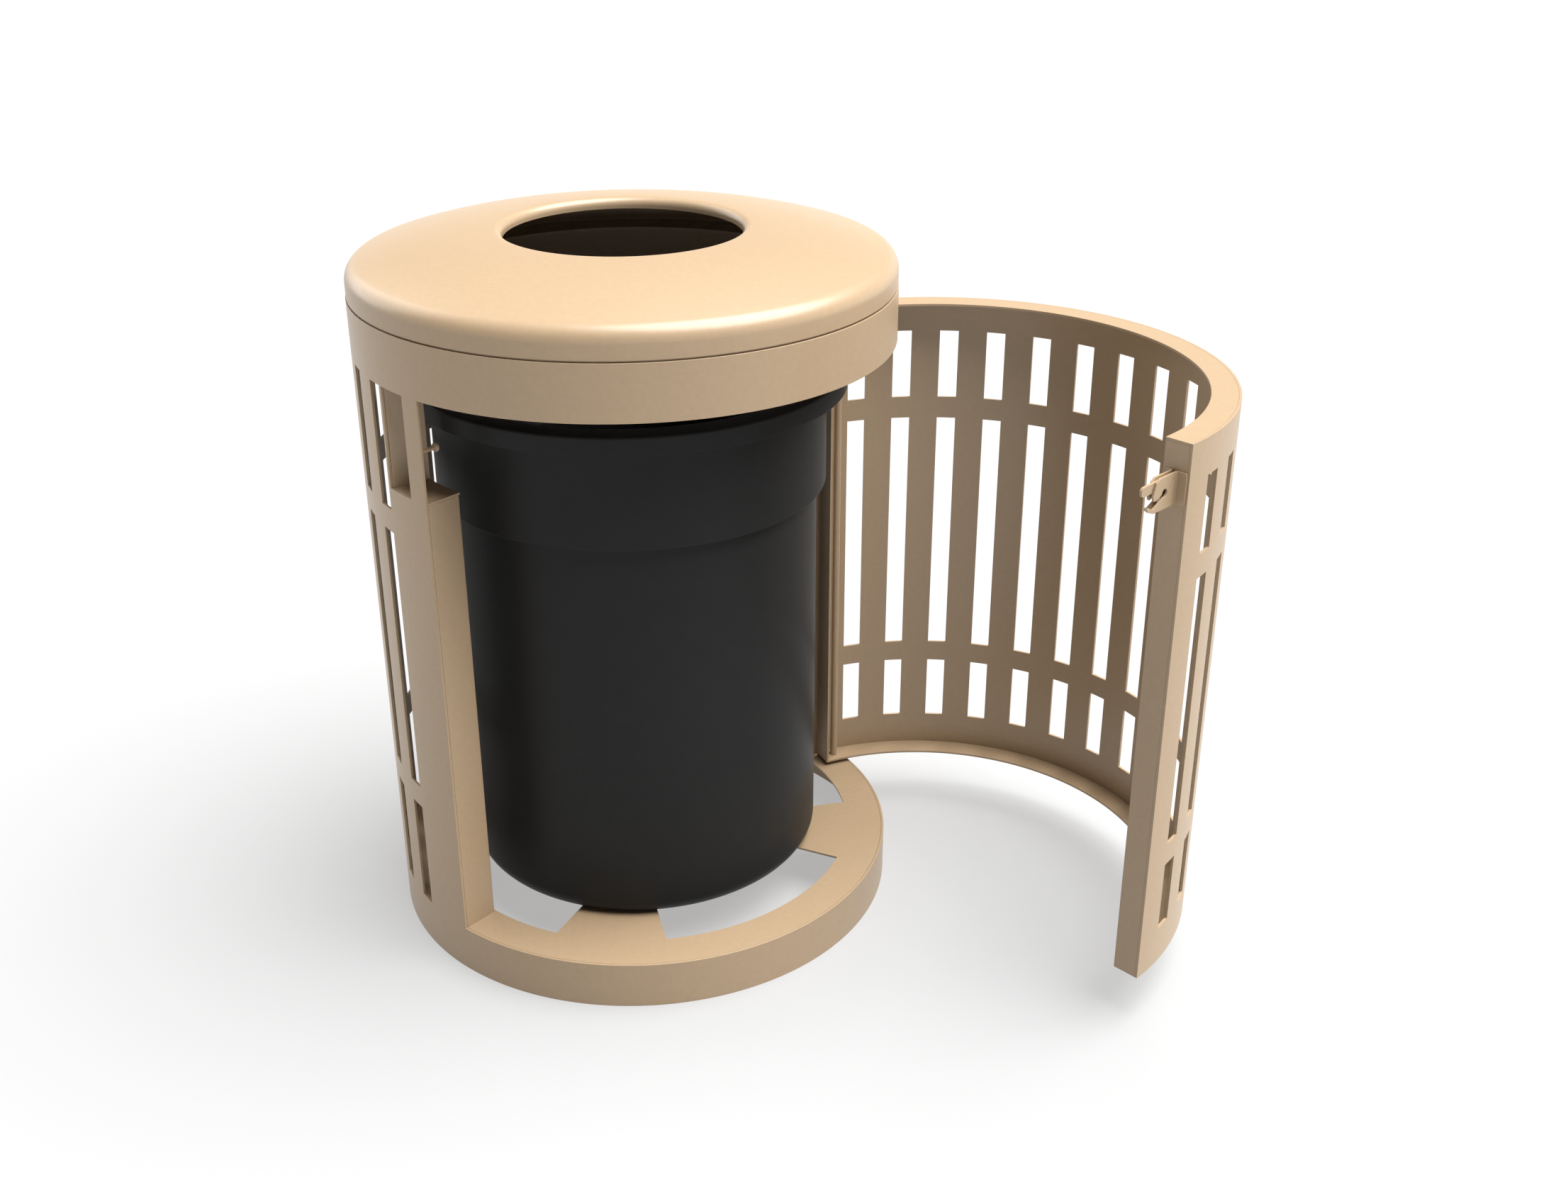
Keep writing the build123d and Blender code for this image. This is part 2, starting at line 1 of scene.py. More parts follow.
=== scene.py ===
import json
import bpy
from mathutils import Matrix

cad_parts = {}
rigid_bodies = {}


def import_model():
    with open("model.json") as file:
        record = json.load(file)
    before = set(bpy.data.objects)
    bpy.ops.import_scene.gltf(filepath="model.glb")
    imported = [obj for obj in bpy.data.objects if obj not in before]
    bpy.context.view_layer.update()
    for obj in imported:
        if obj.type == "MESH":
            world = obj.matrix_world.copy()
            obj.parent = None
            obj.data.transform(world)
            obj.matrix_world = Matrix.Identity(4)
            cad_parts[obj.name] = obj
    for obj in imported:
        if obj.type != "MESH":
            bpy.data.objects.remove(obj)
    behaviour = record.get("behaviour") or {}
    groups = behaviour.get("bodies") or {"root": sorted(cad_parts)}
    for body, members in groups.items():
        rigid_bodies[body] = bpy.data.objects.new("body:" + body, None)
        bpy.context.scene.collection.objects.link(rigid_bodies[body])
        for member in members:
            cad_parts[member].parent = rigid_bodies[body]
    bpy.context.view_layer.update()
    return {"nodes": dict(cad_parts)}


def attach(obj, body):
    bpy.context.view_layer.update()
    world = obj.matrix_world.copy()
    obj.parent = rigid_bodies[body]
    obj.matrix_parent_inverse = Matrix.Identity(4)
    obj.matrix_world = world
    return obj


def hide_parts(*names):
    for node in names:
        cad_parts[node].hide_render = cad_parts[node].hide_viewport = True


bl_info = {
    "name": "Outdoor trash receptacle",
    "version": (1, 0, 0),
    "blender": (4, 5, 0),
    "location": "View3D > Sidebar > Receptacle",
    "description": "A round slotted-steel receptacle with a domed lid, a swinging door and a plastic liner",
    "category": "Add Mesh",
}

from math import atan2, ceil, cos, pi, radians, sin, sqrt

import bmesh
import bpy
import numpy as np
from bpy.props import FloatProperty, FloatVectorProperty, IntProperty, PointerProperty
from mathutils import Euler, Vector
from mathutils.geometry import tessellate_polygon

# The new file's own cube, camera and light are cleared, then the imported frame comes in.
for leftover in list(bpy.data.objects):
    bpy.data.objects.remove(leftover)
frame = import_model()

MM = 0.001

# Points round a circle as wide as the cabinet, round a rod's bore, and round a pin's or bolt's hole
RIM_POINTS, BORE_POINTS, HOLE_POINTS = 240, 32, 24
# Widest step along an arc of the cabinet or the door, and up its sheet
ARC_STEP, RISE_STEP = radians(1.5), 0.3
# Rounding of the cut edges: of sheets and rings, of narrow plates, of the brackets and of turned pins
SHEET_EDGE, PLATE_EDGE, BRACKET_EDGE, PIN_EDGE = 0.5 * MM, 0.4 * MM, 0.35 * MM, 0.2 * MM
# Radii inside and outside the bend of a plate
BEND_INSIDE, BEND_OUTSIDE = 0.8 * MM, 3.5 * MM
# Chamfers at the ends of the rod and of a bolt
ROD_CHAMFER, BOLT_CHAMFER = 0.8 * MM, 0.5 * MM

# Corners of the latch's flat pieces, each with its rounding, in millimetres: x runs out of
# the door's end and y runs up from the brackets' foot, or for the shoulder from their top.
LEVER = ((27.3, 24.5, 0.8), (27.3, 10.7, 0.8), (33.1, 10.7, 1.5), (41, 19, 1.6), (41, 23.6, 1.6),
         (65, 23.6, 5.2), (65, 35, 5.2))
OUTER_LIP = ((43, 0, 5.6), (55, 5, 2.2), (55, 10, 2.2), (44.5, 5.6, 2.2))
INNER_LIP = ((43, 0, 3.2), (49.5, 3.5, 1.4), (49.5, 7, 1.4), (44.5, 5.6, 1.4))
JAW = ((44, 13.7, 2), (46, 20.2, 2))
SHOULDER = ((41, -4.2, 4), (35, 0, 4))
FOOT_ROUND = 2.5
# Heights of the slot's floor and roof where it runs into the keyhole, in millimetres
NECK_FLOOR, NECK_ROOF = 15.3, 20.2

# Half the width of the studio floor, in metres
FLOOR_REACH = 40.0
# Each light's name, strength, apparent width in degrees and tilt in degrees: a broad one
# overhead, a little to the right, and a weak one from behind on the left
SUNS = (("Overhead", 9.6, 60, (2, 24, 0)), ("Back left", 1.5, 50, (-35, -58, 0)))
# Upward part of a ray's direction where the white walls end and where the dim ceiling starts
WALL_TOP, WALL_FADE = 0.15, 0.22
CEILING_STRENGTH = 0.04


def linear(hex_colour):
    """Linear red, green, blue and alpha of an sRGB colour written as #rrggbb."""
    srgb = np.array([int(hex_colour[i:i + 2], 16) / 255 for i in (1, 3, 5)])
    curve = np.where(srgb <= 0.04045, srgb / 12.92, ((srgb + 0.055) / 1.055) ** 2.4)
    return (*curve.tolist(), 1.0)


def length(name, millimetres, description):
    """A length that a user can change, with its default in millimetres."""
    return FloatProperty(name=name, description=description, default=millimetres * MM,
                         precision=5, subtype="DISTANCE", unit="LENGTH")


def turn(name, degrees, description):
    """An angle that a user can change, with its default in degrees."""
    return FloatProperty(name=name, description=description, default=radians(degrees),
                         subtype="ANGLE", unit="ROTATION")


def colour(name, hex_colour, description):
    """A colour that a user can change, with its default in sRGB hex."""
    return FloatVectorProperty(name=name, description=description, default=linear(hex_colour),
                               size=4, min=0.0, max=1.0, subtype="COLOR")


# Sizes and colours that a user would change


class CabinetSizes(bpy.types.PropertyGroup):
    radius: length("Radius", 346.0, "Outer radius of the rolled sheet")
    wall: length("Sheet", 3.4, "Thickness of the rolled sheet")
    plate: length("Plate", 3.0, "Thickness of the flat plates")
    gap: length("Weld gap", 0.2, "Gap that stands for a weld")
    base: length("Base band", 64.4, "Height of the plain band at the foot")
    header: length("Header foot", 798.0, "Height of the lower edge of the header band")
    top: length("Header top", 867.7, "Height of the upper edge of the header band")
    latch_jamb: turn("Latch jamb", -134.85, "Plan angle of the doorway's latch side")
    hinge_jamb: turn("Hinge jamb", 31.35, "Plan angle of the doorway's hinge side")
    jamb_depth: length("Jamb depth", 48.4, "Radial depth of the jambs")
    jamb_return: turn("Jamb return", 5.0, "Plan angle taken by the return of the hinge jamb")
    slot_pitch: turn("Slot pitch", 11.0, "Plan angle from one column of slots to the next")
    slot_width: length("Slot width", 26.3, "Width of a slot")
    slot_low: length("Middle slots low", 247.7, "Lower end of the middle row of slots")
    slot_high: length("Middle slots high", 608.8, "Upper end of the middle row of slots")
    bridge: length("Bridge", 31.2, "Metal left between two rows of slots")
    slot_first: turn("First slot", 44.75, "Plan angle of the first column of slots in the wall")
    slot_count: IntProperty(name="Slots", description="Columns of slots in the wall", default=16, min=1)
    column_back: turn("Column back", -146.87, "Plan angle of the plate behind the latch column")
    window_back: turn("Window back", -147.25, "Plan angle of the hand window's back edge")
    window_front: turn("Window front", -139.5, "Plan angle of the hand window's front edge")
    shelf: length("Pocket shelf", 669.5, "Height of the shelf on top of the latch column")
    rim_width: length("Plate rim", 49.7, "Width of the base plate's rim")
    hub: length("Plate hub", 205.0, "Radius of the base plate's middle disc")
    web_first: turn("First web", -100.6, "Plan angle of the base plate's first web")
    web_rim: turn("Web at rim", 14.4, "Half angle of a web at the rim")
    web_hub: turn("Web at hub", 12.4, "Half angle of a web at the middle disc")
    seat_width: length("Lid seat", 57.4, "Width of the ring that the lid sits on")


class DoorSizes(bpy.types.PropertyGroup):
    latch_end: turn("Latch end", -131.55, "Plan angle of the shut door's latch end")
    hinge_end: turn("Hinge end", 29.85, "Plan angle of the shut door's hinge end")
    opened: turn("Opened", 81.0, "How far the door stands open")
    bottom: length("Door foot", 66.4, "Height of the door's lower edge")
    top: length("Door top", 785.4, "Height of the door's upper edge")
    flange: length("Flange", 31.9, "Radial width of the flanges and end plates")
    flange_lift: length("Flange lift", 3.7, "Height of the lower flange above the door's edge")
    slot_first: turn("First slot", 20.65, "Plan angle of the first column of slots in the door")
    slot_count: IntProperty(name="Slots", description="Columns of slots in the door", default=14, min=1)
    top_band: length("Top band", 47.5, "Plain metal above the door's slots")
    bottom_band: length("Bottom band", 54.7, "Plain metal below the door's slots")
    edge_round: length("Edge round", 3.2, "Rounding of the sheet's outer corner at the hinge end")
    pivot_angle: turn("Pivot angle", 26.47, "Plan angle of the pivot rod")
    pivot_inset: length("Pivot inset", 16.0, "Distance of the rod's centre from the sheet")
    rod: length("Rod radius", 5.0, "Radius of the pivot rod")
    running: length("Running clearance", 0.08, "Clearance round the rod and the pin")
    nut_flats: length("Rod nut", 17.0, "Width across the flats of the rod's nuts")
    nut_height: length("Rod nut height", 8.0, "Height of the rod's nuts")
    rod_tail: length("Rod tail", 3.0, "Length of rod past each nut")
    thin_nut_flats: length("Thin nut", 14.0, "Width across the flats of the nut under the door")
    washer: length("Washer", 8.0, "Radius of the washer that the door stands on")
    washer_height: length("Washer height", 1.5, "Thickness of the washer")
    washer_play: length("Washer play", 0.1, "Play between the washer and the door")


class LatchSizes(bpy.types.PropertyGroup):
    foot_height: length("Bracket foot", 711.3, "Height of the brackets' lower edge")
    height: length("Bracket height", 39.3, "Height of the brackets")
    metal: length("Bracket metal", 2.5, "Thickness of the bent brackets")
    bend: length("Bend", 1.0, "Inside radius of the brackets' bend")
    inset: length("Outer bracket inset", 11.5, "From the sheet's inside to the outer bracket")
    spacing: length("Bracket spacing", 6.6, "From one bracket to the other")
    outer_foot: length("Outer foot", 14.8, "Width of the outer bracket's foot")
    inner_foot: length("Inner foot", 11.2, "Width of the inner bracket's foot")
    lever: length("Lever", 3.2, "Thickness of the thumb lever")
    pin: length("Pin", 2.5, "Radius of the lever's pin and of the stud's shank")
    eye_reach: length("Pin reach", 10.0, "From the door's end to the lever's pin")
    eye_rise: length("Pin rise", 30.7, "Height of the lever's pin above the brackets' foot")
    eye: length("Lever eye", 6.0, "Radius of the lever round its pin")
    key_reach: length("Keyhole reach", 24.2, "From the door's end to the keyhole and to the stud")
    key_rise: length("Keyhole rise", 19.6, "Height of the keyhole above the brackets' foot")
    keyhole: length("Keyhole", 4.9, "Radius of the keyhole")
    stud_rise: length("Stud rise", 21.9, "Height of the stud above the shut door's brackets' foot")
    stud_gap: length("Stud gap", 0.4, "From the shut door's inner bracket to the stud's head")
    stud_head: length("Stud head", 5.5, "Radius of the stud's head")
    stud_head_length: length("Stud head length", 5.5, "Length of the stud's head")
    stud_round: length("Stud round", 2.4, "Rounding of the stud's head")


class LidSizes(bpy.types.PropertyGroup):
    radius: length("Radius", 345.3, "Outer radius of the lid's skirt")
    metal: length("Metal", 2.5, "Thickness of the spun sheet")
    foot: length("Foot", 870.1, "Height of the skirt's lower edge")
    skirt: length("Skirt", 17.6, "Height of the straight skirt")
    shoulder: length("Shoulder", 21.9, "Radius of the rounded shoulder")
    shoulder_turn: turn("Shoulder turn", 72.6, "How far the shoulder turns")
    crown: length("Crown", 657.8, "Radius of the shallow crown")
    mouth: length("Mouth", 150.6, "Radius of the mouth")
    roll: length("Roll", 9.9, "Radius of the mouth's rolled edge")
    lip: length("Lip", 4.0, "Straight end of the rolled edge")
    collar: length("Collar", 342.6, "Outer radius of the upright ring inside the skirt")
    collar_height: length("Collar height", 17.0, "Height of that ring")
    bolt_circle: length("Bolt circle", 326.4, "Radius of the circle of the lid's bolts")
    bolt: length("Bolt", 4.0, "Radius of the lid's bolts")
    bolt_play: length("Bolt play", 0.3, "Clearance round a bolt in its hole")
    bolt_flats: length("Bolt flats", 13.0, "Width across the flats of a bolt's head and nut")
    bolt_head: length("Bolt head", 5.0, "Height of a bolt's head")
    bolt_nut: length("Bolt nut", 6.5, "Height of a bolt's nut")
    bolt_tail: length("Bolt tail", 2.5, "Length of bolt past its nut")


class LinerSizes(bpy.types.PropertyGroup):
    wall: length("Wall", 3.2, "Thickness of the moulded wall")
    height: length("Height", 695.8, "Height of the tub")
    foot: length("Foot radius", 243.5, "Outer radius at the foot")
    draft: length("Draft", 0.9, "How much the tub widens up to its step")
    step: length("Step", 12.3, "Width of the step")
    step_height: length("Step height", 540.0, "Height of the step above the tub's foot")
    rim: length("Rim", 27.0, "How far the rim stands out")
    rim_drop: length("Rim drop", 24.9, "Height of the turned-down rim")
    corner: length("Foot corner", 26.8, "Rounding round the tub's foot")


class FinishColours(bpy.types.PropertyGroup):
    sand: colour("Sand", "#a28b6f", "Polyester powder coat")
    black: colour("Black", "#202020", "Moulded polyethylene")
    zinc: colour("Zinc", "#b9bcbe", "Zinc plate on steel")
    nylon: colour("Nylon", "#e4e1d6", "Natural nylon")
    floor: colour("Floor", "#7d7d7d", "Opal acrylic of the lit studio floor")


# Shapes, worked out as arrays of points


def flat_points(plan, height):
    """Points from plan positions, written as complex numbers, and their heights."""
    return np.stack(np.broadcast_arrays(plan.real, plan.imag, height), axis=-1).astype(float)


def upright(x, y, w):
    """Leave points as they are: x and y in plan and w up."""
    return flat_points(x + 1j * y, w)


def between(low, high, turned_by=0.0, about=0.0):
    """Place a plan outline between two heights, turned about a plan position."""

    def place(x, y, w):
        plan = about + (x + 1j * y - about) * np.exp(1j * turned_by)
        return flat_points(plan, low + (high - low) * w)

    return place


def fine_lines(marks, step):
    """All the marks in order, with equal parts no longer than step put between them."""
    marks = np.unique(np.round(marks, 9))
    parts = [np.linspace(a, b, ceil((b - a) / step - 1e-6), endpoint=False)
             for a, b in zip(marks[:-1], marks[1:])]
    return np.append(np.concatenate(parts), marks[-1])


def within(values, spans):
    """True where a value lies in one of the spans."""
    return np.any([(values > low) & (values < high) for low, high in spans], axis=0)


def arc(centre, radius, start, end, count=12):
    """Points of a circle round the centre, from one angle to the other."""
    angle = np.linspace(start, end, count)
    return np.stack([centre[0] + radius * np.cos(angle), centre[1] + radius * np.sin(angle)], axis=-1)


def circle(centre, radius, count):
    """Points all round a circle, each once."""
    return arc(centre, radius, 0.0, 2 * pi, count + 1)[:-1]


def rounded(corners, radii, count=5):
    """A closed outline with its corners rounded: each corner becomes an arc that
    touches both of its sides, whose centre is on the line that halves the corner."""
    corners = np.asarray(corners, float)
    radii = np.broadcast_to(np.asarray(radii, float), len(corners))[:, None]
    to_last = np.roll(corners, 1, axis=0) - corners
    to_next = np.roll(corners, -1, axis=0) - corners
    to_last /= np.linalg.norm(to_last, axis=1, keepdims=True)
    to_next /= np.linalg.norm(to_next, axis=1, keepdims=True)
    half = np.arccos(np.clip((to_last * to_next).sum(1, keepdims=True), -1, 1)) / 2
    halving = to_last + to_next
    size = np.linalg.norm(halving, axis=1, keepdims=True)
    halving = np.where(size > 1e-9, halving / np.maximum(size, 1e-9), 0.0)
    centre = corners + halving * radii / np.sin(np.maximum(half, 1e-6))
    first = corners + to_last * radii / np.tan(np.maximum(half, 1e-6)) - centre
    last = corners + to_next * radii / np.tan(np.maximum(half, 1e-6)) - centre
    start = np.arctan2(first[:, 1], first[:, 0])
    swing = np.angle(np.exp(1j * (np.arctan2(last[:, 1], last[:, 0]) - start)))
    angle = start[:, None] + swing[:, None] * np.linspace(0, 1, count)
    ring = np.stack([np.cos(angle), np.sin(angle)], axis=-1) * radii[:, None, :]
    points = (centre[:, None, :] + ring).reshape(-1, 2)
    apart = np.linalg.norm(points - np.roll(points, 1, axis=0), axis=1) > 1e-8
    return points[apart]


def ring_sector(inner, outer, start, end, step=ARC_STEP):
    """The outline of a flat piece of a ring: out along one arc and back along the other."""
    count = ceil(abs(end - start) / step) + 1
    there = arc((0, 0), outer, start, end, count)
    back = arc((0, 0), inner, end, start, count)
    return np.concatenate([there, back])


def radial_strip(inner, outer, angle, side, metal):
    """The outline of a plate with one face on the ray at this angle, its metal on side +1 or -1."""
    along = np.exp(1j * angle)
    plan = np.array([inner, outer, outer + 1j * side * metal, inner + 1j * side * metal]) * along
    return np.stack([plan.real, plan.imag], axis=-1)


def shape(points, faces):
    """A mesh from arrays of points and four-cornered faces, without points that no face uses."""
    used, faces = np.unique(faces, return_inverse=True)
    data = bpy.data.meshes.new("shape")
    data.from_pydata(points[used].tolist(), [], faces.reshape(-1, 4).tolist())
    return data


def around_axis(points):
    """A closed mesh from columns of points round an axis, each joined to the next all round."""
    index = np.arange(points.size // 3).reshape(points.shape[:2])
    over = np.roll(index, -1, axis=0)
    faces = np.stack([index, over, np.roll(over, -1, axis=1), np.roll(index, -1, axis=1)], -1)
    return shape(points.reshape(-1, 3), faces.reshape(-1, 4))


def sheet(u, v, solid, place, closed=False):
    """A sheet with openings. The lines u and v make a grid of cells, solid says which
    cells are metal, and place turns (u, v, w) into points, with w 0 on one face of the
    sheet and 1 on the other. Walls close the sheet wherever metal meets an opening."""
    grid_u, grid_v = np.meshgrid(u, v, indexing="ij")
    points = np.concatenate([place(grid_u, grid_v, w).reshape(-1, 3) for w in (0.0, 1.0)])
    index = np.arange(grid_u.size).reshape(grid_u.shape)
    across = np.pad(solid, ((1, 1), (0, 0)), mode="wrap" if closed else "constant")
    if closed:
        index = np.concatenate([index, index[:1]])
    far = grid_u.size
    a, b, c, d = index[:-1, :-1], index[1:, :-1], index[1:, 1:], index[:-1, 1:]
    faces = [np.stack([a, b, c, d], -1)[solid], np.stack([d, c, b, a], -1)[solid] + far]
    edge = across[:-1] != across[1:]
    if closed:
        edge[-1] = False
    low, high = index[:, :-1][edge], index[:, 1:][edge]
    faces.append(np.stack([low, high, high + far, low + far], -1))
    along = np.pad(solid, ((0, 0), (1, 1)), mode="constant")
    edge = along[:, :-1] != along[:, 1:]
    low, high = index[:-1][edge], index[1:][edge]
    faces.append(np.stack([low, high, high + far, low + far], -1))
    return shape(points, np.concatenate(faces))


def turned(profile, columns, place=upright):
    """A closed profile of (radius, height) points carried round an axis in equal turns."""
    angle = np.linspace(0, 2 * pi, columns, endpoint=False)[:, None]
    radius, height = profile[:, 0], profile[:, 1]
    return around_axis(place(radius * np.cos(angle), radius * np.sin(angle), height + 0 * angle))


def hexagon_nut(across_flats, height, bore, place, columns=96):
    """A chamfered nut: its radius is the smaller of a hexagon's radius at each angle and
    a cone's radius at each height, and its bore is plain."""
    angle = np.linspace(0, 2 * pi, columns, endpoint=False)[:, None]
    flat = across_flats / 2 / np.cos((angle + pi / 6) % (pi / 3) - pi / 6)
    face_share, chamfer_share, slope = 0.96, 0.075, 2.6
    levels = np.array([0, 0.33, 0.66, 1]) * across_flats * chamfer_share
    heights = np.concatenate([levels, height - levels[::-1]])
    cone = across_flats / 2 * face_share + np.concatenate([levels, levels[::-1]]) * slope
    outer = np.minimum(flat, cone)
    radius = np.concatenate([outer, np.full((columns, 2), bore)], axis=1)
    rise = np.concatenate([heights, [height, 0.0]]) + 0 * angle
    return around_axis(place(radius * np.cos(angle), radius * np.sin(angle), rise))


def plate(loops, place, cuts=()):
    """A flat piece cut to an outline, with its holes: the first loop is the outline and
    the others are holes. It is drawn flat, cut across x wherever it is to bend, and then
    place turns (x, y, w) into points, with w 0 on one face and 1 on the other."""
    flat = np.concatenate(loops)
    triangles = np.array(tessellate_polygon([[Vector((x, y, 0)) for x, y in loop] for loop in loops]))
    starts = np.cumsum([0] + [len(loop) for loop in loops[:-1]])
    here = np.arange(len(flat))
    following = np.concatenate([np.roll(np.arange(len(loop)), -1) + start
                                for loop, start in zip(loops, starts)])
    far = len(flat)
    points = np.concatenate([np.c_[flat, np.zeros(far)], np.c_[flat, np.ones(far)]])
    walls = np.stack([here, following, following + far, here + far], -1)
    caps = np.concatenate([triangles, triangles[:, ::-1] + far])
    data = bpy.data.meshes.new("plate")
    data.from_pydata(points.tolist(), [], walls.tolist() + caps.tolist())
    mesh = bmesh.new()
    mesh.from_mesh(data)
    mesh.normal_update()
    inner = [edge for edge in mesh.edges if len(edge.link_faces) == 2
             and all(abs(face.normal.z) > 0.99 for face in edge.link_faces)]
    bmesh.ops.dissolve_edges(mesh, edges=inner, use_verts=False)
    for cut in cuts:
        bmesh.ops.bisect_plane(mesh, geom=mesh.verts[:] + mesh.edges[:] + mesh.faces[:],
                               plane_co=(cut, 0, 0), plane_no=(1, 0, 0))
    mesh.to_mesh(data)
    mesh.free()
    drawn = np.empty(len(data.vertices) * 3)
    data.vertices.foreach_get("co", drawn)
    data.vertices.foreach_set("co", place(*drawn.reshape(-1, 3).T).ravel())
    return data


def add_piece(name, meshes, finish, body, replaces, edge=0.0):
    """Make one piece of the object from closed meshes: welded, facing outwards, shaded
    smooth between its sharp edges, and with those edges broken by a narrow round."""
    joined = bmesh.new()
    for part in meshes:
        work = bmesh.new()
        work.from_mesh(part)
        bmesh.ops.remove_doubles(work, verts=work.verts, dist=1e-6)
        bmesh.ops.recalc_face_normals(work, faces=work.faces)
        work.to_mesh(part)
        work.free()
        joined.from_mesh(part)
        bpy.data.meshes.remove(part)
    data = bpy.data.meshes.new(name)
    joined.to_mesh(data)
    joined.free()
    data.shade_smooth()
    data.set_sharp_from_angle(angle=radians(30))
    piece = bpy.data.objects.new(name, data)
    bpy.context.scene.collection.objects.link(piece)
    if edge:
        bevel = piece.modifiers.new("Broken edges", "BEVEL")
        bevel.width = edge
        bevel.segments = 2
        bevel.limit_method = "ANGLE"
        bevel.angle_limit = radians(40)
        bevel.harden_normals = True
    data.materials.append(bpy.data.materials[finish])
    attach(piece, body)
    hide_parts(*replaces)
    return piece


# Names of the finishes, and the slot of the record that each one fills
POWDER = "Polyester powder coat"
POLYETHYLENE = "Moulded polyethylene"
ZINC = "Zinc plated steel"
NYLON = "Natural nylon"
FLOOR = "Opal acrylic floor"


def add_node(tree, kind, inputs=None, **settings):
    """Add a node with its settings. An input is given a value, or the socket that feeds it."""
    made = tree.nodes.new(kind)
    for setting, value in settings.items():
        setattr(made, setting, value)
    for name, value in (inputs or {}).items():
        if isinstance(value, bpy.types.NodeSocket):
            tree.links.new(value, made.inputs[name])
        else:
            made.inputs[name].default_value = value
    return made


def grained(name, tone, grain, grain_depth, mottle, mottle_share, roughness, **shader):
    """A finish with a fine grain in its surface and a faint broad mottle in its colour.
    Sizes are in metres: a noise pattern's scale is one over the size of its features.
    The roughness varies a little with the grain."""
    ripple = 0.04
    material = bpy.data.materials.new(name)
    material.use_nodes = True
    tree = material.node_tree
    tree.nodes.clear()
    where = add_node(tree, "ShaderNodeTexCoord").outputs["Object"]
    broad = add_node(tree, "ShaderNodeTexNoise",
                     {"Vector": where, "Scale": 1 / mottle, "Detail": 3.0, "Roughness": 0.6})
    fine = add_node(tree, "ShaderNodeTexNoise",
                    {"Vector": where, "Scale": 1 / grain, "Detail": 2.0, "Roughness": 0.5})
    darker = tuple(c * (1 - mottle_share) for c in tone[:3]) + (1.0,)
    lighter = tuple(min(1.0, c * (1 + mottle_share)) for c in tone[:3]) + (1.0,)
    shade = add_node(tree, "ShaderNodeValToRGB", {"Fac": broad.outputs["Fac"]})
    shade.color_ramp.elements[0].position = 0.3
    shade.color_ramp.elements[0].color = darker
    shade.color_ramp.elements[1].position = 0.7
    shade.color_ramp.elements[1].color = lighter
    sheen = add_node(tree, "ShaderNodeMapRange",
                     {"Value": fine.outputs["Fac"], "To Min": roughness - ripple,
                      "To Max": roughness + ripple})
    bump = add_node(tree, "ShaderNodeBump",
                    {"Height": fine.outputs["Fac"], "Strength": 1.0, "Distance": grain_depth})
    surface = add_node(tree, "ShaderNodeBsdfPrincipled",
                       {"Base Color": shade.outputs["Color"], "Roughness": sheen.outputs["Result"],
                        "Normal": bump.outputs["Normal"], **shader})
    add_node(tree, "ShaderNodeOutputMaterial", {"Surface": surface.outputs["BSDF"]})
    return material


# One operator for each group of pieces, and one for the stage


class RECEPTACLE_OT_finishes(bpy.types.Operator):
    """Make the finishes of the receptacle and of the floor"""

    bl_idname = "receptacle.finishes"
    bl_label = "Finishes"

    def execute(self, context):
        tones = context.scene.receptacle_colours
        # Powder coat: baked polyester, a semi-gloss skin with a faint orange peel about 1 mm
        # across, drawn at 2.5 mm so that it shows, and a soft mottle a few millimetres wide.
        grained(POWDER, tones.sand, grain=2.5 * MM, grain_depth=0.05 * MM, mottle=7 * MM,
                mottle_share=0.03, roughness=0.34, **{"IOR": 1.5, "Specular IOR Level": 0.5})
        # Polyethylene: moulded in a blasted tool, so a satin black with a fine pebble of
        # about 1 mm, drawn at 2 mm, that breaks the highlight up.
        grained(POLYETHYLENE, tones.black, grain=2 * MM, grain_depth=0.06 * MM, mottle=30 * MM,
                mottle_share=0.05, roughness=0.42, **{"IOR": 1.5, "Specular IOR Level": 0.12})
        # Zinc plate: a thin bright passivated layer over machined steel, with dull patches.
        grained(ZINC, tones.zinc, grain=0.8 * MM, grain_depth=0.01 * MM, mottle=4 * MM,
                mottle_share=0.08, roughness=0.3, **{"Metallic": 1.0})
        # Nylon: uncoloured, waxy and slightly translucent.
        grained(NYLON, tones.nylon, grain=1 * MM, grain_depth=0.02 * MM, mottle=5 * MM,
                mottle_share=0.02, roughness=0.5,
                **{"IOR": 1.53, "Subsurface Weight": 0.2, "Subsurface Scale": 2 * MM})
        # Floor: opal acrylic lit evenly from below, so that shadows on it stay pale.
        grained(FLOOR, tones.floor, grain=3 * MM, grain_depth=0.01 * MM, mottle=400 * MM,
                mottle_share=0.005, roughness=0.9,
                **{"Specular IOR Level": 0.0, "Emission Color": (1, 1, 1, 1), "Emission Strength": 0.42})
        return {"FINISHED"}


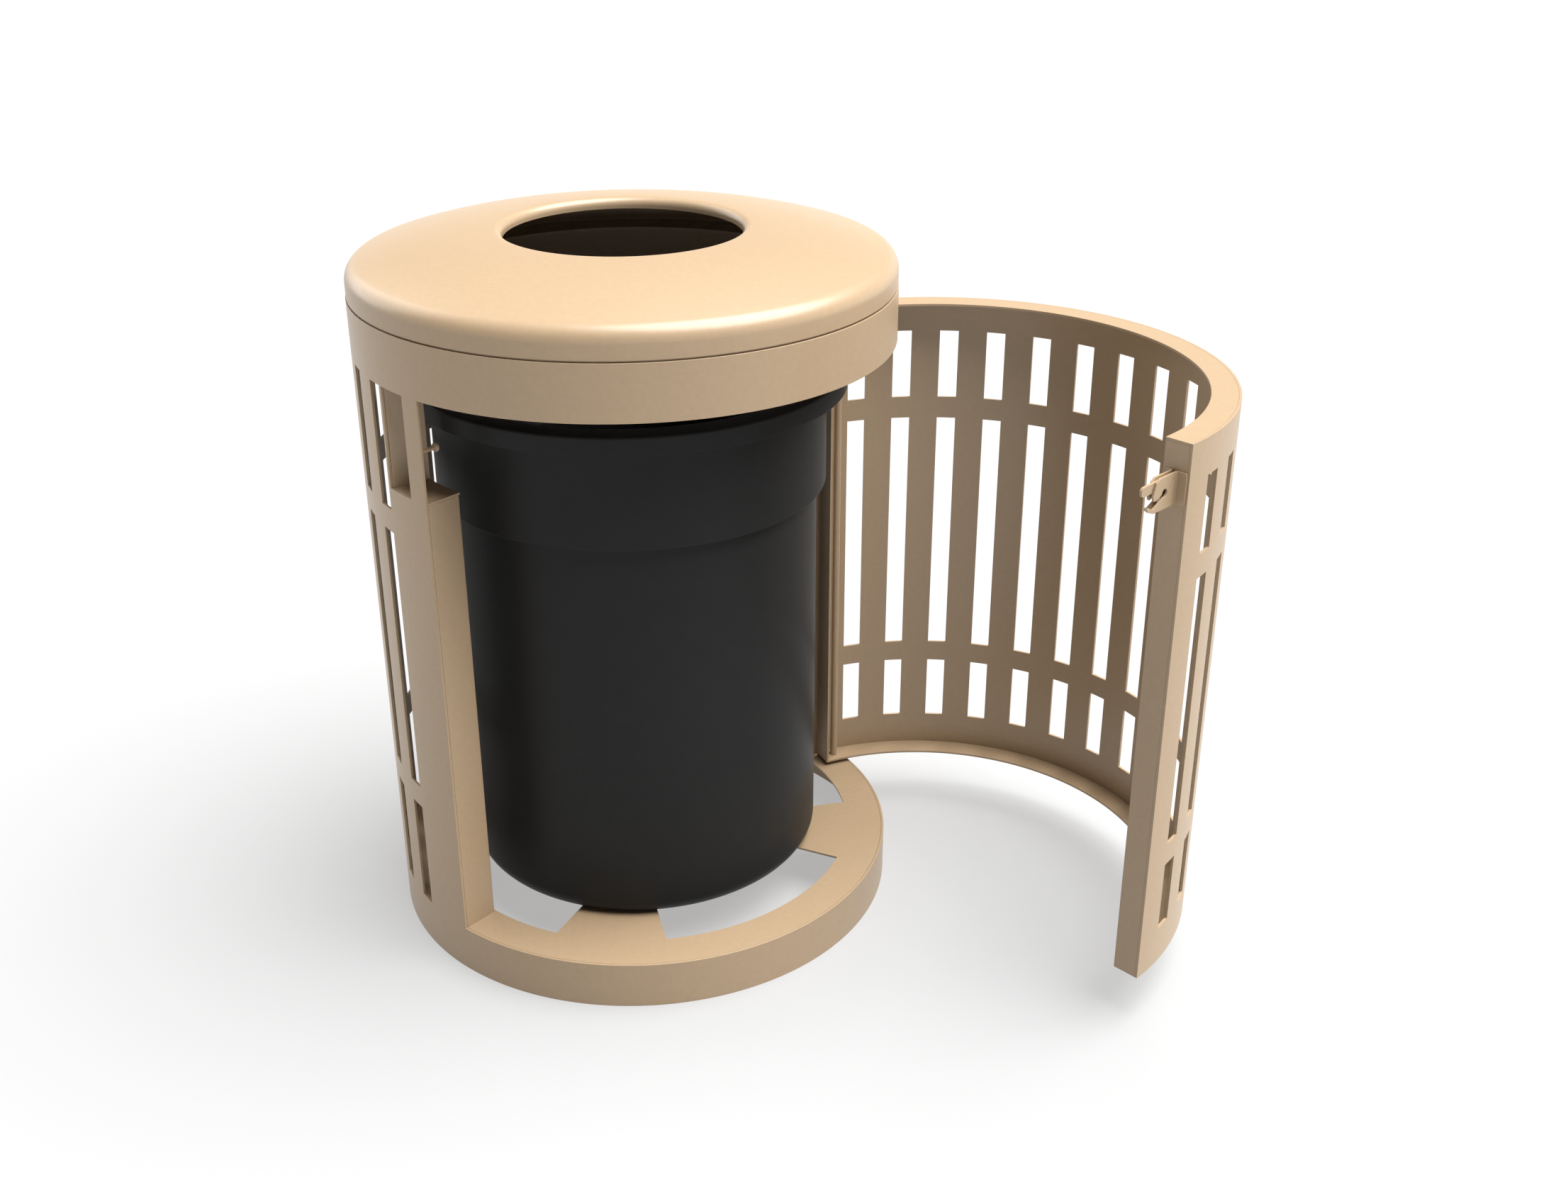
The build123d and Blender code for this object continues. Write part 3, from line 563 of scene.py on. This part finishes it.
class RECEPTACLE_OT_cabinet(bpy.types.Operator):
    """Make the rolled cabinet sheet with its doorway, hand window and slots"""

    bl_idname = "receptacle.cabinet"
    bl_label = "Cabinet sheet"

    def execute(self, context):
        size = context.scene.receptacle_cabinet
        half_slot = np.arcsin(size.slot_width / 2 / (size.radius - size.wall / 2))
        centres = size.slot_first + size.slot_pitch * np.arange(size.slot_count)
        slots = [(c - half_slot, c + half_slot) for c in centres]
        rows = [(size.base, size.slot_low - size.bridge), (size.slot_low, size.slot_high),
                (size.slot_high + size.bridge, size.header)]
        doorway = (size.latch_jamb, size.hinge_jamb)
        window = (size.window_back, size.window_front)
        start = size.latch_jamb
        turned_on = [(a + 2 * pi if a < start - 1e-6 else a) for a in np.ravel([*slots, doorway, window])]
        u = fine_lines([*turned_on, start, start + 2 * pi], ARC_STEP)
        v = fine_lines([0, size.top, size.shelf, *np.ravel(rows)], RISE_STEP)
        mid_u, mid_v = np.meshgrid((u[:-1] + u[1:]) / 2, (v[:-1] + v[1:]) / 2, indexing="ij")
        window_on = (window[0] + 2 * pi, window[1] + 2 * pi)
        opened = within(mid_u, [doorway]) & within(mid_v, [(size.base, size.header)])
        opened |= within(mid_u, [window_on]) & within(mid_v, [(size.shelf, size.header)])
        opened |= within(mid_u, slots) & within(mid_v, rows)

        def place(angle, height, w):
            return flat_points((size.radius - size.wall * w) * np.exp(1j * angle), height)

        add_piece("cabinet_sheet", [sheet(u[:-1], v, ~opened, place, closed=True)], POWDER, "cabinet",
                  ["base_band", "cabinet_wall", "header_band"], edge=SHEET_EDGE)
        return {"FINISHED"}


class RECEPTACLE_OT_plates(bpy.types.Operator):
    """Make the flat and bent plates inside the cabinet"""

    bl_idname = "receptacle.plates"
    bl_label = "Plates and rings"

    def execute(self, context):
        size = context.scene.receptacle_cabinet
        door = context.scene.receptacle_door
        seat = size.radius - size.wall - size.gap
        jamb = seat - size.jamb_depth
        rod = pivot_position(context)
        bore = circle((rod.real, rod.imag), door.rod + door.running, BORE_POINTS)
        rim = circle((0, 0), seat, RIM_POINTS)
        drains = []
        for start in size.web_first + np.arange(4) * pi / 2:
            outer = arc((0, 0), seat - size.rim_width, start + size.web_rim,
                        start + pi / 2 - size.web_rim, 48)
            inner = arc((0, 0), size.hub, start + pi / 2 - size.web_hub, start + size.web_hub, 48)
            drains.append(np.concatenate([outer, inner]))
        add_piece("floor_plate", [plate([rim, bore, *drains], between(size.base - size.plate, size.base))],
                  POWDER, "cabinet", ["base_plate"], edge=SHEET_EDGE)
        add_piece("header_ring", [plate([rim, circle((0, 0), jamb, RIM_POINTS), bore],
                                        between(size.header, size.header + size.plate))],
                  POWDER, "cabinet", ["header_foot_ring"], edge=SHEET_EDGE)
        lid = context.scene.receptacle_lid
        turns = radians(45) + np.arange(4) * pi / 2
        bolts = [circle(polar(lid.bolt_circle, a), lid.bolt + lid.bolt_play, HOLE_POINTS) for a in turns]
        add_piece("seat_ring", [plate([rim, circle((0, 0), seat - size.seat_width, RIM_POINTS), *bolts],
                                      between(size.top - size.wall, size.top))],
                  POWDER, "cabinet", ["lid_seat_ring"], edge=SHEET_EDGE)
        column = self.column(size, jamb, seat)
        add_piece("column_sheet", [plate([column], between(size.base, size.shelf - size.plate))],
                  POWDER, "cabinet", ["latch_column"], edge=PLATE_EDGE)
        back = radial_strip(jamb, seat, size.column_back, -1, size.plate)
        add_piece("pocket_back", [plate([back], between(size.base, size.header))],
                  POWDER, "cabinet", ["pocket_back_plate"], edge=PLATE_EDGE)
        shelf = ring_sector(jamb, seat, size.column_back, size.latch_jamb, ARC_STEP / 2)
        add_piece("pocket_floor", [plate([shelf], between(size.shelf - size.plate, size.shelf))],
                  POWDER, "cabinet", ["pocket_shelf"], edge=PLATE_EDGE)
        hinge = self.hinge(size, jamb, seat)
        add_piece("hinge_jamb_sheet", [plate([hinge], between(size.base, size.header))],
                  POWDER, "cabinet", ["hinge_jamb"], edge=PLATE_EDGE)
        return {"FINISHED"}

    def column(self, size, jamb, seat):
        """Plan of the latch column: along the inner arc, round the bend and out along the jamb."""
        thick, at = size.plate, size.latch_jamb
        out = np.exp(1j * at) * (seat + 1j * np.array([0, -thick]))
        corner = np.exp(1j * at) * (jamb + thick - 1j * thick)
        inside = arc((0, 0), jamb + thick, at - (thick / jamb) * 2, size.column_back, 12)
        outside = arc((0, 0), jamb, size.column_back, at, 14)
        plan = np.concatenate([out, [corner], inside @ [1, 1j], outside @ [1, 1j]])
        radii = np.zeros(len(plan))
        radii[[2, -1]] = [BEND_INSIDE, BEND_OUTSIDE]
        return rounded(np.stack([plan.real, plan.imag], -1), radii, 7)

    def hinge(self, size, jamb, seat):
        """Plan of the hinge jamb: in along the plate, round the bend and along the return."""
        thick, at = size.plate, size.hinge_jamb
        end = at + size.jamb_return
        out = np.exp(1j * at) * (seat + 1j * np.array([thick, 0]))
        corner = np.exp(1j * at) * jamb
        outside = arc((0, 0), jamb, at + radians(1), end, 8)
        inside = arc((0, 0), jamb + thick, end, at + (thick / jamb) * 2, 8)
        bend = np.exp(1j * at) * (jamb + thick + 1j * thick)
        plan = np.concatenate([out, [corner], outside @ [1, 1j], inside @ [1, 1j], [bend]])
        radii = np.zeros(len(plan))
        radii[[2, -1]] = [BEND_OUTSIDE, BEND_INSIDE]
        return rounded(np.stack([plan.real, plan.imag], -1), radii, 7)


def polar(radius, angle):
    """A plan point from its radius and plan angle."""
    return (radius * cos(angle), radius * sin(angle))


def pivot_position(context):
    """Plan position of the pivot rod, as a complex number."""
    size, door = context.scene.receptacle_cabinet, context.scene.receptacle_door
    return complex(*polar(size.radius - size.wall - door.pivot_inset, door.pivot_angle))


class RECEPTACLE_OT_pivot(bpy.types.Operator):
    """Make the pivot rod with its nuts and the washer that the door stands on"""

    bl_idname = "receptacle.pivot"
    bl_label = "Pivot"

    def execute(self, context):
        size, door = context.scene.receptacle_cabinet, context.scene.receptacle_door
        rod = pivot_position(context)
        low = size.base - size.plate - door.nut_height - door.rod_tail
        high = size.header + size.plate + door.nut_height + door.rod_tail
        thin = door.rod - ROD_CHAMFER
        profile = np.array([(0, low), (thin, low), (door.rod, low + ROD_CHAMFER),
                            (door.rod, high - ROD_CHAMFER), (thin, high), (0, high)])
        add_piece("rod", [turned(profile, 48, around(rod, 0.0))], POWDER, "cabinet", ["pivot_rod"],
                  edge=PIN_EDGE)
        bore = door.rod + door.running
        nuts = [hexagon_nut(door.nut_flats, door.nut_height, bore, around(rod, foot))
                for foot in (size.base - size.plate - door.nut_height, size.header + size.plate)]
        add_piece("rod_nuts", nuts, ZINC, "cabinet", ["pivot_nuts"])
        washer_foot = door.bottom + door.flange_lift - door.washer_play - door.washer_height
        thin_nut = hexagon_nut(door.thin_nut_flats, washer_foot - size.base, bore, around(rod, size.base))
        add_piece("thin_nut", [thin_nut], ZINC, "cabinet", ["rest_nut"])
        section = rounded([(bore, 0), (door.washer, 0), (door.washer, door.washer_height),
                           (bore, door.washer_height)], [0.1 * MM, 0.4 * MM, 0.4 * MM, 0.1 * MM])
        add_piece("washer", [turned(section, 48, around(rod, washer_foot))], NYLON, "cabinet",
                  ["rest_washer"])
        return {"FINISHED"}


def around(centre, foot):
    """Place a turned piece upright round a plan position, standing at a height."""

    def place(x, y, w):
        return flat_points(centre + x + 1j * y, foot + w)

    return place


class RECEPTACLE_OT_door(bpy.types.Operator):
    """Make the rolled door with its slots, flanges and end plates"""

    bl_idname = "receptacle.door"
    bl_label = "Door"

    def execute(self, context):
        size, door = context.scene.receptacle_cabinet, context.scene.receptacle_door
        rod = pivot_position(context)
        inner = size.radius - size.wall
        seat = inner - size.gap
        half_slot = np.arcsin(size.slot_width / 2 / (size.radius - size.wall / 2))
        centres = door.slot_first - size.slot_pitch * np.arange(door.slot_count)
        slots = [(c - half_slot, c + half_slot) for c in centres]
        rows = [(door.bottom + door.bottom_band, size.slot_low - size.bridge),
                (size.slot_low, size.slot_high),
                (size.slot_high + size.bridge, door.top - door.top_band)]
        edge_turn = door.edge_round / size.radius
        bend = door.hinge_end - edge_turn * (1 - np.sin(np.linspace(0, pi / 2, 7)))
        before_bend = fine_lines([door.latch_end, *np.ravel(slots), bend[0]], ARC_STEP)
        u = np.unique(np.concatenate([before_bend, bend]))
        v = fine_lines([door.bottom, door.top, *np.ravel(rows)], RISE_STEP)
        mid_u, mid_v = np.meshgrid((u[:-1] + u[1:]) / 2, (v[:-1] + v[1:]) / 2, indexing="ij")
        opened = within(mid_u, slots) & within(mid_v, rows)

        def place(angle, height, w):
            short = np.clip(edge_turn - (door.hinge_end - angle), 0, edge_turn) * size.radius
            sunk = door.edge_round - np.sqrt(np.maximum(door.edge_round ** 2 - short ** 2, 0))
            radius = size.radius - size.wall * w - sunk * (1 - w)
            plan = rod + (radius * np.exp(1j * angle) - rod) * np.exp(1j * door.opened)
            return flat_points(plan, height)

        add_piece("door_sheet", [sheet(u, v, ~opened, place)], POWDER, "door", ["door_skin"],
                  edge=SHEET_EDGE)
        flange = seat - door.flange
        bore = circle((rod.real, rod.imag), door.rod + door.running, BORE_POINTS)
        outline = ring_sector(flange, seat, door.latch_end, door.hinge_end)
        add_piece("door_top_plate",
                  [plate([outline, bore], between(door.top - size.plate, door.top, door.opened, rod))],
                  POWDER, "door", ["door_top_flange"], edge=PLATE_EDGE)
        lift = door.bottom + door.flange_lift
        outline = ring_sector(flange, seat, door.latch_end + size.plate / seat, door.hinge_end)
        add_piece("door_foot_plate",
                  [plate([outline, bore], between(lift, lift + size.plate, door.opened, rod))],
                  POWDER, "door", ["door_bottom_flange"], edge=PLATE_EDGE)
        end = radial_strip(flange, seat, door.latch_end, 1, size.plate)
        add_piece("door_latch_end",
                  [plate([end], between(door.bottom, door.top - size.plate, door.opened, rod))],
                  POWDER, "door", ["door_latch_plate"], edge=PLATE_EDGE)
        end = radial_strip(flange, seat, door.hinge_end, -1, size.plate)
        add_piece("door_hinge_end",
                  [plate([end], between(lift + size.plate, door.top - size.plate, door.opened, rod))],
                  POWDER, "door", ["door_hinge_plate"], edge=PLATE_EDGE)
        return {"FINISHED"}


def on_latch(context, radius, metal, opened=True):
    """Place a piece drawn at the door's latch end: x out of the end, y up from the
    brackets' foot, and w from this radius inwards through the metal."""
    door = context.scene.receptacle_door
    rod = pivot_position(context)
    out = np.exp(1j * door.latch_end)

    def place(x, y, w):
        plan = (radius - metal * w) * out - 1j * x * out
        if opened:
            plan = rod + (plan - rod) * np.exp(1j * door.opened)
        return flat_points(plan, context.scene.receptacle_latch.foot_height + y)

    return place


def line_meets_circle(start, end, centre, radius):
    """Where the line from start to end first comes into the circle."""
    start, step, centre = np.asarray(start), np.subtract(end, start), np.asarray(centre)
    a, b, c = step @ step, (start - centre) @ step, (start - centre) @ (start - centre) - radius ** 2
    return start + step * (-b - sqrt(b * b - a * c)) / a


class RECEPTACLE_OT_latch(bpy.types.Operator):
    """Make the two bent brackets, the thumb lever with its pin, and the headed stud"""

    bl_idname = "receptacle.latch"
    bl_label = "Latch"

    def execute(self, context):
        size, latch = context.scene.receptacle_cabinet, context.scene.receptacle_latch
        door = context.scene.receptacle_door
        outer = size.radius - size.wall - latch.inset
        inner = outer - latch.spacing
        eye = (latch.eye_reach, latch.eye_rise)
        self.bracket(context, "outer_bracket", outer, latch.outer_foot - latch.metal, 1, eye, OUTER_LIP)
        self.bracket(context, "inner_bracket", inner, latch.inner_foot, -1, eye, INNER_LIP)
        lever = np.array(LEVER) * MM
        heel = arc(eye, latch.eye, pi / 2, 3 * pi / 2, 24)
        drawn = np.concatenate([lever[:, :2], heel, [(latch.eye_reach, lever[0, 1])]])
        outline = rounded(drawn, [*lever[:, 2], *np.zeros(len(heel) + 1)], 9)
        play = (latch.spacing - latch.metal - latch.lever) / 2
        hole = circle(eye, latch.pin + door.running, HOLE_POINTS)
        add_piece("thumb_lever",
                  [plate([outline, hole], on_latch(context, inner + play + latch.lever, latch.lever))],
                  POWDER, "lever", ["latch_lever"], edge=SHEET_EDGE)
        self.turned_on_latch(context, "lever_pin", outer, eye,
                             rounded([(0, 0), (latch.pin, 0), (latch.pin, latch.spacing + latch.metal),
                                      (0, latch.spacing + latch.metal)], [0, 0.4 * MM, 0.4 * MM, 0]),
                             True, "door", "latch_pin")
        root = sqrt((size.radius - size.wall) ** 2 - latch.key_reach ** 2) - size.gap
        head = inner - latch.metal - latch.stud_gap
        shank = root - head
        tip = shank + latch.stud_head_length
        stud = rounded([(0, 0), (latch.pin, 0), (latch.pin, shank), (latch.stud_head, shank),
                        (latch.stud_head, tip), (0, tip)],
                       [0, 0, 0.3 * MM, latch.stud_round, latch.stud_round, 0], 8)
        centre = (latch.key_reach, latch.stud_rise)
        self.turned_on_latch(context, "stud", root, centre, stud, False, "cabinet", "keeper_stud")
        return {"FINISHED"}

    def turned_on_latch(self, context, name, radius, centre, profile, opened, body, node):
        """A turned piece whose axis runs inwards from this radius at the latch."""
        seat = on_latch(context, radius, 1.0, opened)

        def place(x, y, w):
            return seat(centre[0] + x, centre[1] + y, w)

        add_piece(name, [turned(profile, 40, place)], POWDER, body, [node], edge=PIN_EDGE)

    def bracket(self, context, name, radius, foot, side, eye, lip):
        """A bent bracket, drawn flat: its blade with the hooked keyhole slot, and its foot,
        which a quarter turn of the metal leads into."""
        latch, door = context.scene.receptacle_latch, context.scene.receptacle_door
        lip, jaw = np.array(lip) * MM, np.array(JAW) * MM
        shoulder = np.array(SHOULDER) * MM + (0, latch.height, 0)
        keyhole = np.array((latch.key_reach, latch.key_rise))
        neck_floor, neck_roof = (latch.key_reach, NECK_FLOOR * MM), (latch.key_reach, NECK_ROOF * MM)
        low = line_meets_circle(lip[-1, :2], neck_floor, keyhole, latch.keyhole) - keyhole
        high = line_meets_circle(jaw[0, :2], neck_roof, keyhole, latch.keyhole) - keyhole
        start, end = atan2(low[1], low[0]), atan2(high[1], high[0])
        hole = arc(keyhole, latch.keyhole, start, end - 2 * pi, 36)
        bend_end = latch.metal + latch.bend
        bend = (latch.bend + latch.metal / 2) * pi / 2
        edge = bend_end - bend - (foot - latch.bend if side > 0 else foot - latch.metal - latch.bend)
        drawn = np.concatenate([
            [(edge, 0, FOOT_ROUND * MM)], lip, np.c_[hole, np.zeros(len(hole))], jaw, shoulder,
            [(edge, latch.height, FOOT_ROUND * MM)],
        ])
        outline = rounded(drawn[:, :2], drawn[:, 2], 7)
        flat = on_latch(context, radius, latch.metal)

        def place(x, y, w):
            depth = w if side > 0 else 1 - w
            reach = latch.bend + latch.metal * depth
            past = np.clip(bend_end - x, 0, None)
            angle = np.clip(past / bend, 0, 1) * pi / 2
            run = np.clip(past - bend, 0, None)
            out = np.where(past > 0, bend_end - reach * np.sin(angle), x)
            into = np.where(past > 0, reach * np.cos(angle) - latch.bend - run, reach - latch.bend)
            into = into if side > 0 else latch.metal - into
            return flat(out, y, into / latch.metal)

        pin = circle(eye, latch.pin + door.running / 2, HOLE_POINTS)
        cuts = bend_end - bend * np.linspace(0, 1, 7)
        node = "latch_bracket_outer" if side > 0 else "latch_bracket_inner"
        add_piece(name, [plate([outline, pin], place, cuts)], POWDER, "door", [node], edge=BRACKET_EDGE)


class RECEPTACLE_OT_lid(bpy.types.Operator):
    """Make the spun lid with its rolled mouth, and dress what holds it down"""

    bl_idname = "receptacle.lid"
    bl_label = "Lid"

    def execute(self, context):
        lid = context.scene.receptacle_lid
        outside = self.line(lid, 0.0)
        inside = self.line(lid, lid.metal)[::-1]
        add_piece("spun_lid", [turned(np.concatenate([outside, inside]), 256)], POWDER, "cabinet",
                  ["lid"], edge=SHEET_EDGE)
        size = context.scene.receptacle_cabinet
        ring = [circle((0, 0), radius, RIM_POINTS) for radius in (lid.collar, lid.collar - size.plate)]
        foot = size.top + size.gap
        add_piece("seam_collar", [plate(ring, between(foot, foot + lid.collar_height))],
                  POWDER, "cabinet", ["lid_collar"], edge=SHEET_EDGE)
        nut_foot = size.top - size.wall - lid.bolt_nut
        bolt_seat = size.top + size.plate
        tip = nut_foot - lid.bolt_tail
        shank = np.array([(0, tip), (lid.bolt - BOLT_CHAMFER, tip), (lid.bolt, tip + BOLT_CHAMFER),
                          (lid.bolt, bolt_seat), (0, bolt_seat)])
        bore = lid.bolt + context.scene.receptacle_door.running
        heads, nuts = [], []
        for angle in radians(45) + np.arange(4) * pi / 2:
            spot = complex(*polar(lid.bolt_circle, angle))
            heads.append(turned(shank, 32, around(spot, 0.0)))
            heads.append(hexagon_nut(lid.bolt_flats, lid.bolt_head, 0.0, around(spot, bolt_seat)))
            nuts.append(hexagon_nut(lid.bolt_flats, lid.bolt_nut, bore, around(spot, nut_foot)))
        add_piece("bolts", heads, ZINC, "cabinet", ["lid_bolts"])
        add_piece("bolt_nuts", nuts, ZINC, "cabinet", ["lid_nuts"])
        frame["nodes"]["lid_tabs"].data.materials.clear()
        frame["nodes"]["lid_tabs"].data.materials.append(bpy.data.materials[POWDER])
        return {"FINISHED"}

    def line(self, lid, inset):
        """The lid's section, this far inside its outer line: up the skirt, round the
        shoulder, up the crown and down round the mouth's rolled edge. Its arcs keep
        their centres, and their radii shrink by the inset."""
        skirt_top = lid.foot + lid.skirt
        shoulder_x = lid.radius - lid.shoulder
        start_x = shoulder_x + (lid.shoulder - lid.crown) * cos(lid.shoulder_turn)
        start_z = skirt_top + (lid.shoulder - lid.crown) * sin(lid.shoulder_turn)
        roll_x = lid.mouth + lid.roll
        roll_z = start_z + sqrt((lid.crown - lid.roll) ** 2 - (roll_x - start_x) ** 2)
        crown_end = atan2(roll_z - start_z, roll_x - start_x)
        return np.concatenate([
            [(lid.radius - inset, lid.foot)],
            arc((shoulder_x, skirt_top), lid.shoulder - inset, 0, lid.shoulder_turn, 16),
            arc((start_x, start_z), lid.crown - inset, lid.shoulder_turn, crown_end, 24)[1:],
            arc((roll_x, roll_z), lid.roll - inset, crown_end, pi, 14)[1:],
            [(lid.mouth + inset, roll_z - lid.lip)],
        ])


class RECEPTACLE_OT_liner(bpy.types.Operator):
    """Make the moulded liner with its step and turned-down rim"""

    bl_idname = "receptacle.liner"
    bl_label = "Liner"

    def execute(self, context):
        liner = context.scene.receptacle_liner
        base = context.scene.receptacle_cabinet.base
        wall, foot = liner.wall, liner.foot
        waist = foot + liner.draft
        collar = waist + liner.step
        rim = collar + liner.rim
        step, top = base + liner.step_height, base + liner.height
        # Radius, height and rounding of each corner of the tub's section
        section = [
            (0, base, 0), (foot, base, liner.corner), (waist, step, 1.6 * MM), (collar, step, 2 * MM),
            (collar, top - wall, 1 * MM), (rim - wall, top - wall, 0.8 * MM),
            (rim - wall, top - liner.rim_drop, 0.8 * MM), (rim, top - liner.rim_drop, 0.8 * MM),
            (rim, top, 4 * MM), (collar - wall, top, 3 * MM), (collar - wall, step + wall, 2 * MM),
            (waist - wall, step + wall, 2 * MM), (foot - wall, base + wall, liner.corner - wall),
            (0, base + wall, 0),
        ]
        corners = np.array(section)
        profile = rounded(corners[:, :2], corners[:, 2], 9)
        add_piece("tub", [turned(profile, RIM_POINTS)], POLYETHYLENE, "liner", ["liner"])
        return {"FINISHED"}


class RECEPTACLE_OT_stage(bpy.types.Operator):
    """Set up the pale floor, the soft studio light and the camera"""

    bl_idname = "receptacle.stage"
    bl_label = "Stage"

    def execute(self, context):
        scene = context.scene
        x, y = np.meshgrid([-FLOOR_REACH, FLOOR_REACH], [-FLOOR_REACH, FLOOR_REACH], indexing="ij")
        data = bpy.data.meshes.new("studio_floor")
        data.from_pydata(flat_points(x + 1j * y, 0.0).reshape(-1, 3).tolist(), [], [(0, 2, 3, 1)])
        data.materials.append(bpy.data.materials[FLOOR])
        floor = bpy.data.objects.new("studio_floor", data)
        scene.collection.objects.link(floor)
        world = bpy.data.worlds.new("Studio")
        world.use_nodes = True
        # White walls along the horizon and a dim ceiling, by the direction of the ray alone
        tree = world.node_tree
        toward = add_node(tree, "ShaderNodeTexCoord").outputs["Generated"]
        height = add_node(tree, "ShaderNodeSeparateXYZ", {"Vector": toward}).outputs["Z"]
        glow = add_node(tree, "ShaderNodeMapRange",
                        {"Value": height, "From Min": WALL_TOP, "From Max": WALL_FADE,
                         "To Min": 1.0, "To Max": CEILING_STRENGTH})
        background = tree.nodes["Background"]
        background.inputs["Color"].default_value = (1, 1, 1, 1)
        tree.links.new(glow.outputs["Result"], background.inputs["Strength"])
        scene.world = world
        for name, energy, spread, tilt in SUNS:
            light = bpy.data.lights.new(name, "SUN")
            light.energy = energy
            light.angle = radians(spread)
            lamp = bpy.data.objects.new(name, light)
            lamp.rotation_euler = Euler([radians(a) for a in tilt])
            scene.collection.objects.link(lamp)
        # The photograph's viewpoint: a 40 mm lens, 25 degrees down and 5 degrees to the right
        camera_data = bpy.data.cameras.new("Camera")
        camera_data.lens = 39.885
        camera_data.sensor_width = 36.0
        camera_data.clip_end = 200
        camera = bpy.data.objects.new("Camera", camera_data)
        camera.location = (0.0, -2.16734, 1.44722)
        camera.rotation_euler = Euler((radians(64.901), 0, radians(-5.3208)))
        scene.collection.objects.link(camera)
        scene.camera = camera
        scene.view_settings.view_transform = "Standard"
        return {"FINISHED"}


class RECEPTACLE_PT_panel(bpy.types.Panel):
    bl_idname = "RECEPTACLE_PT_panel"
    bl_label = "Receptacle"
    bl_space_type = "VIEW_3D"
    bl_region_type = "UI"
    bl_category = "Receptacle"

    def draw(self, context):
        for group in GROUPS:
            sizes = getattr(context.scene, group)
            box = self.layout.box()
            for name in sizes.__annotations__:
                box.prop(sizes, name)
        for operator in OPERATORS:
            self.layout.operator(operator.bl_idname)


GROUPS = {
    "receptacle_cabinet": CabinetSizes,
    "receptacle_door": DoorSizes,
    "receptacle_latch": LatchSizes,
    "receptacle_lid": LidSizes,
    "receptacle_liner": LinerSizes,
    "receptacle_colours": FinishColours,
}
OPERATORS = (
    RECEPTACLE_OT_finishes,
    RECEPTACLE_OT_cabinet,
    RECEPTACLE_OT_plates,
    RECEPTACLE_OT_pivot,
    RECEPTACLE_OT_door,
    RECEPTACLE_OT_latch,
    RECEPTACLE_OT_lid,
    RECEPTACLE_OT_liner,
    RECEPTACLE_OT_stage,
)


def register():
    for kind in (*GROUPS.values(), *OPERATORS, RECEPTACLE_PT_panel):
        bpy.utils.register_class(kind)
    for name, group in GROUPS.items():
        setattr(bpy.types.Scene, name, PointerProperty(type=group))


def unregister():
    for name in GROUPS:
        delattr(bpy.types.Scene, name)
    for kind in reversed((*GROUPS.values(), *OPERATORS, RECEPTACLE_PT_panel)):
        bpy.utils.unregister_class(kind)


def main():
    """Make the receptacle and its stage."""
    register()
    for operator in OPERATORS:
        group, name = operator.bl_idname.split(".")
        getattr(getattr(bpy.ops, group), name)()


if __name__ == "__main__":
    main()
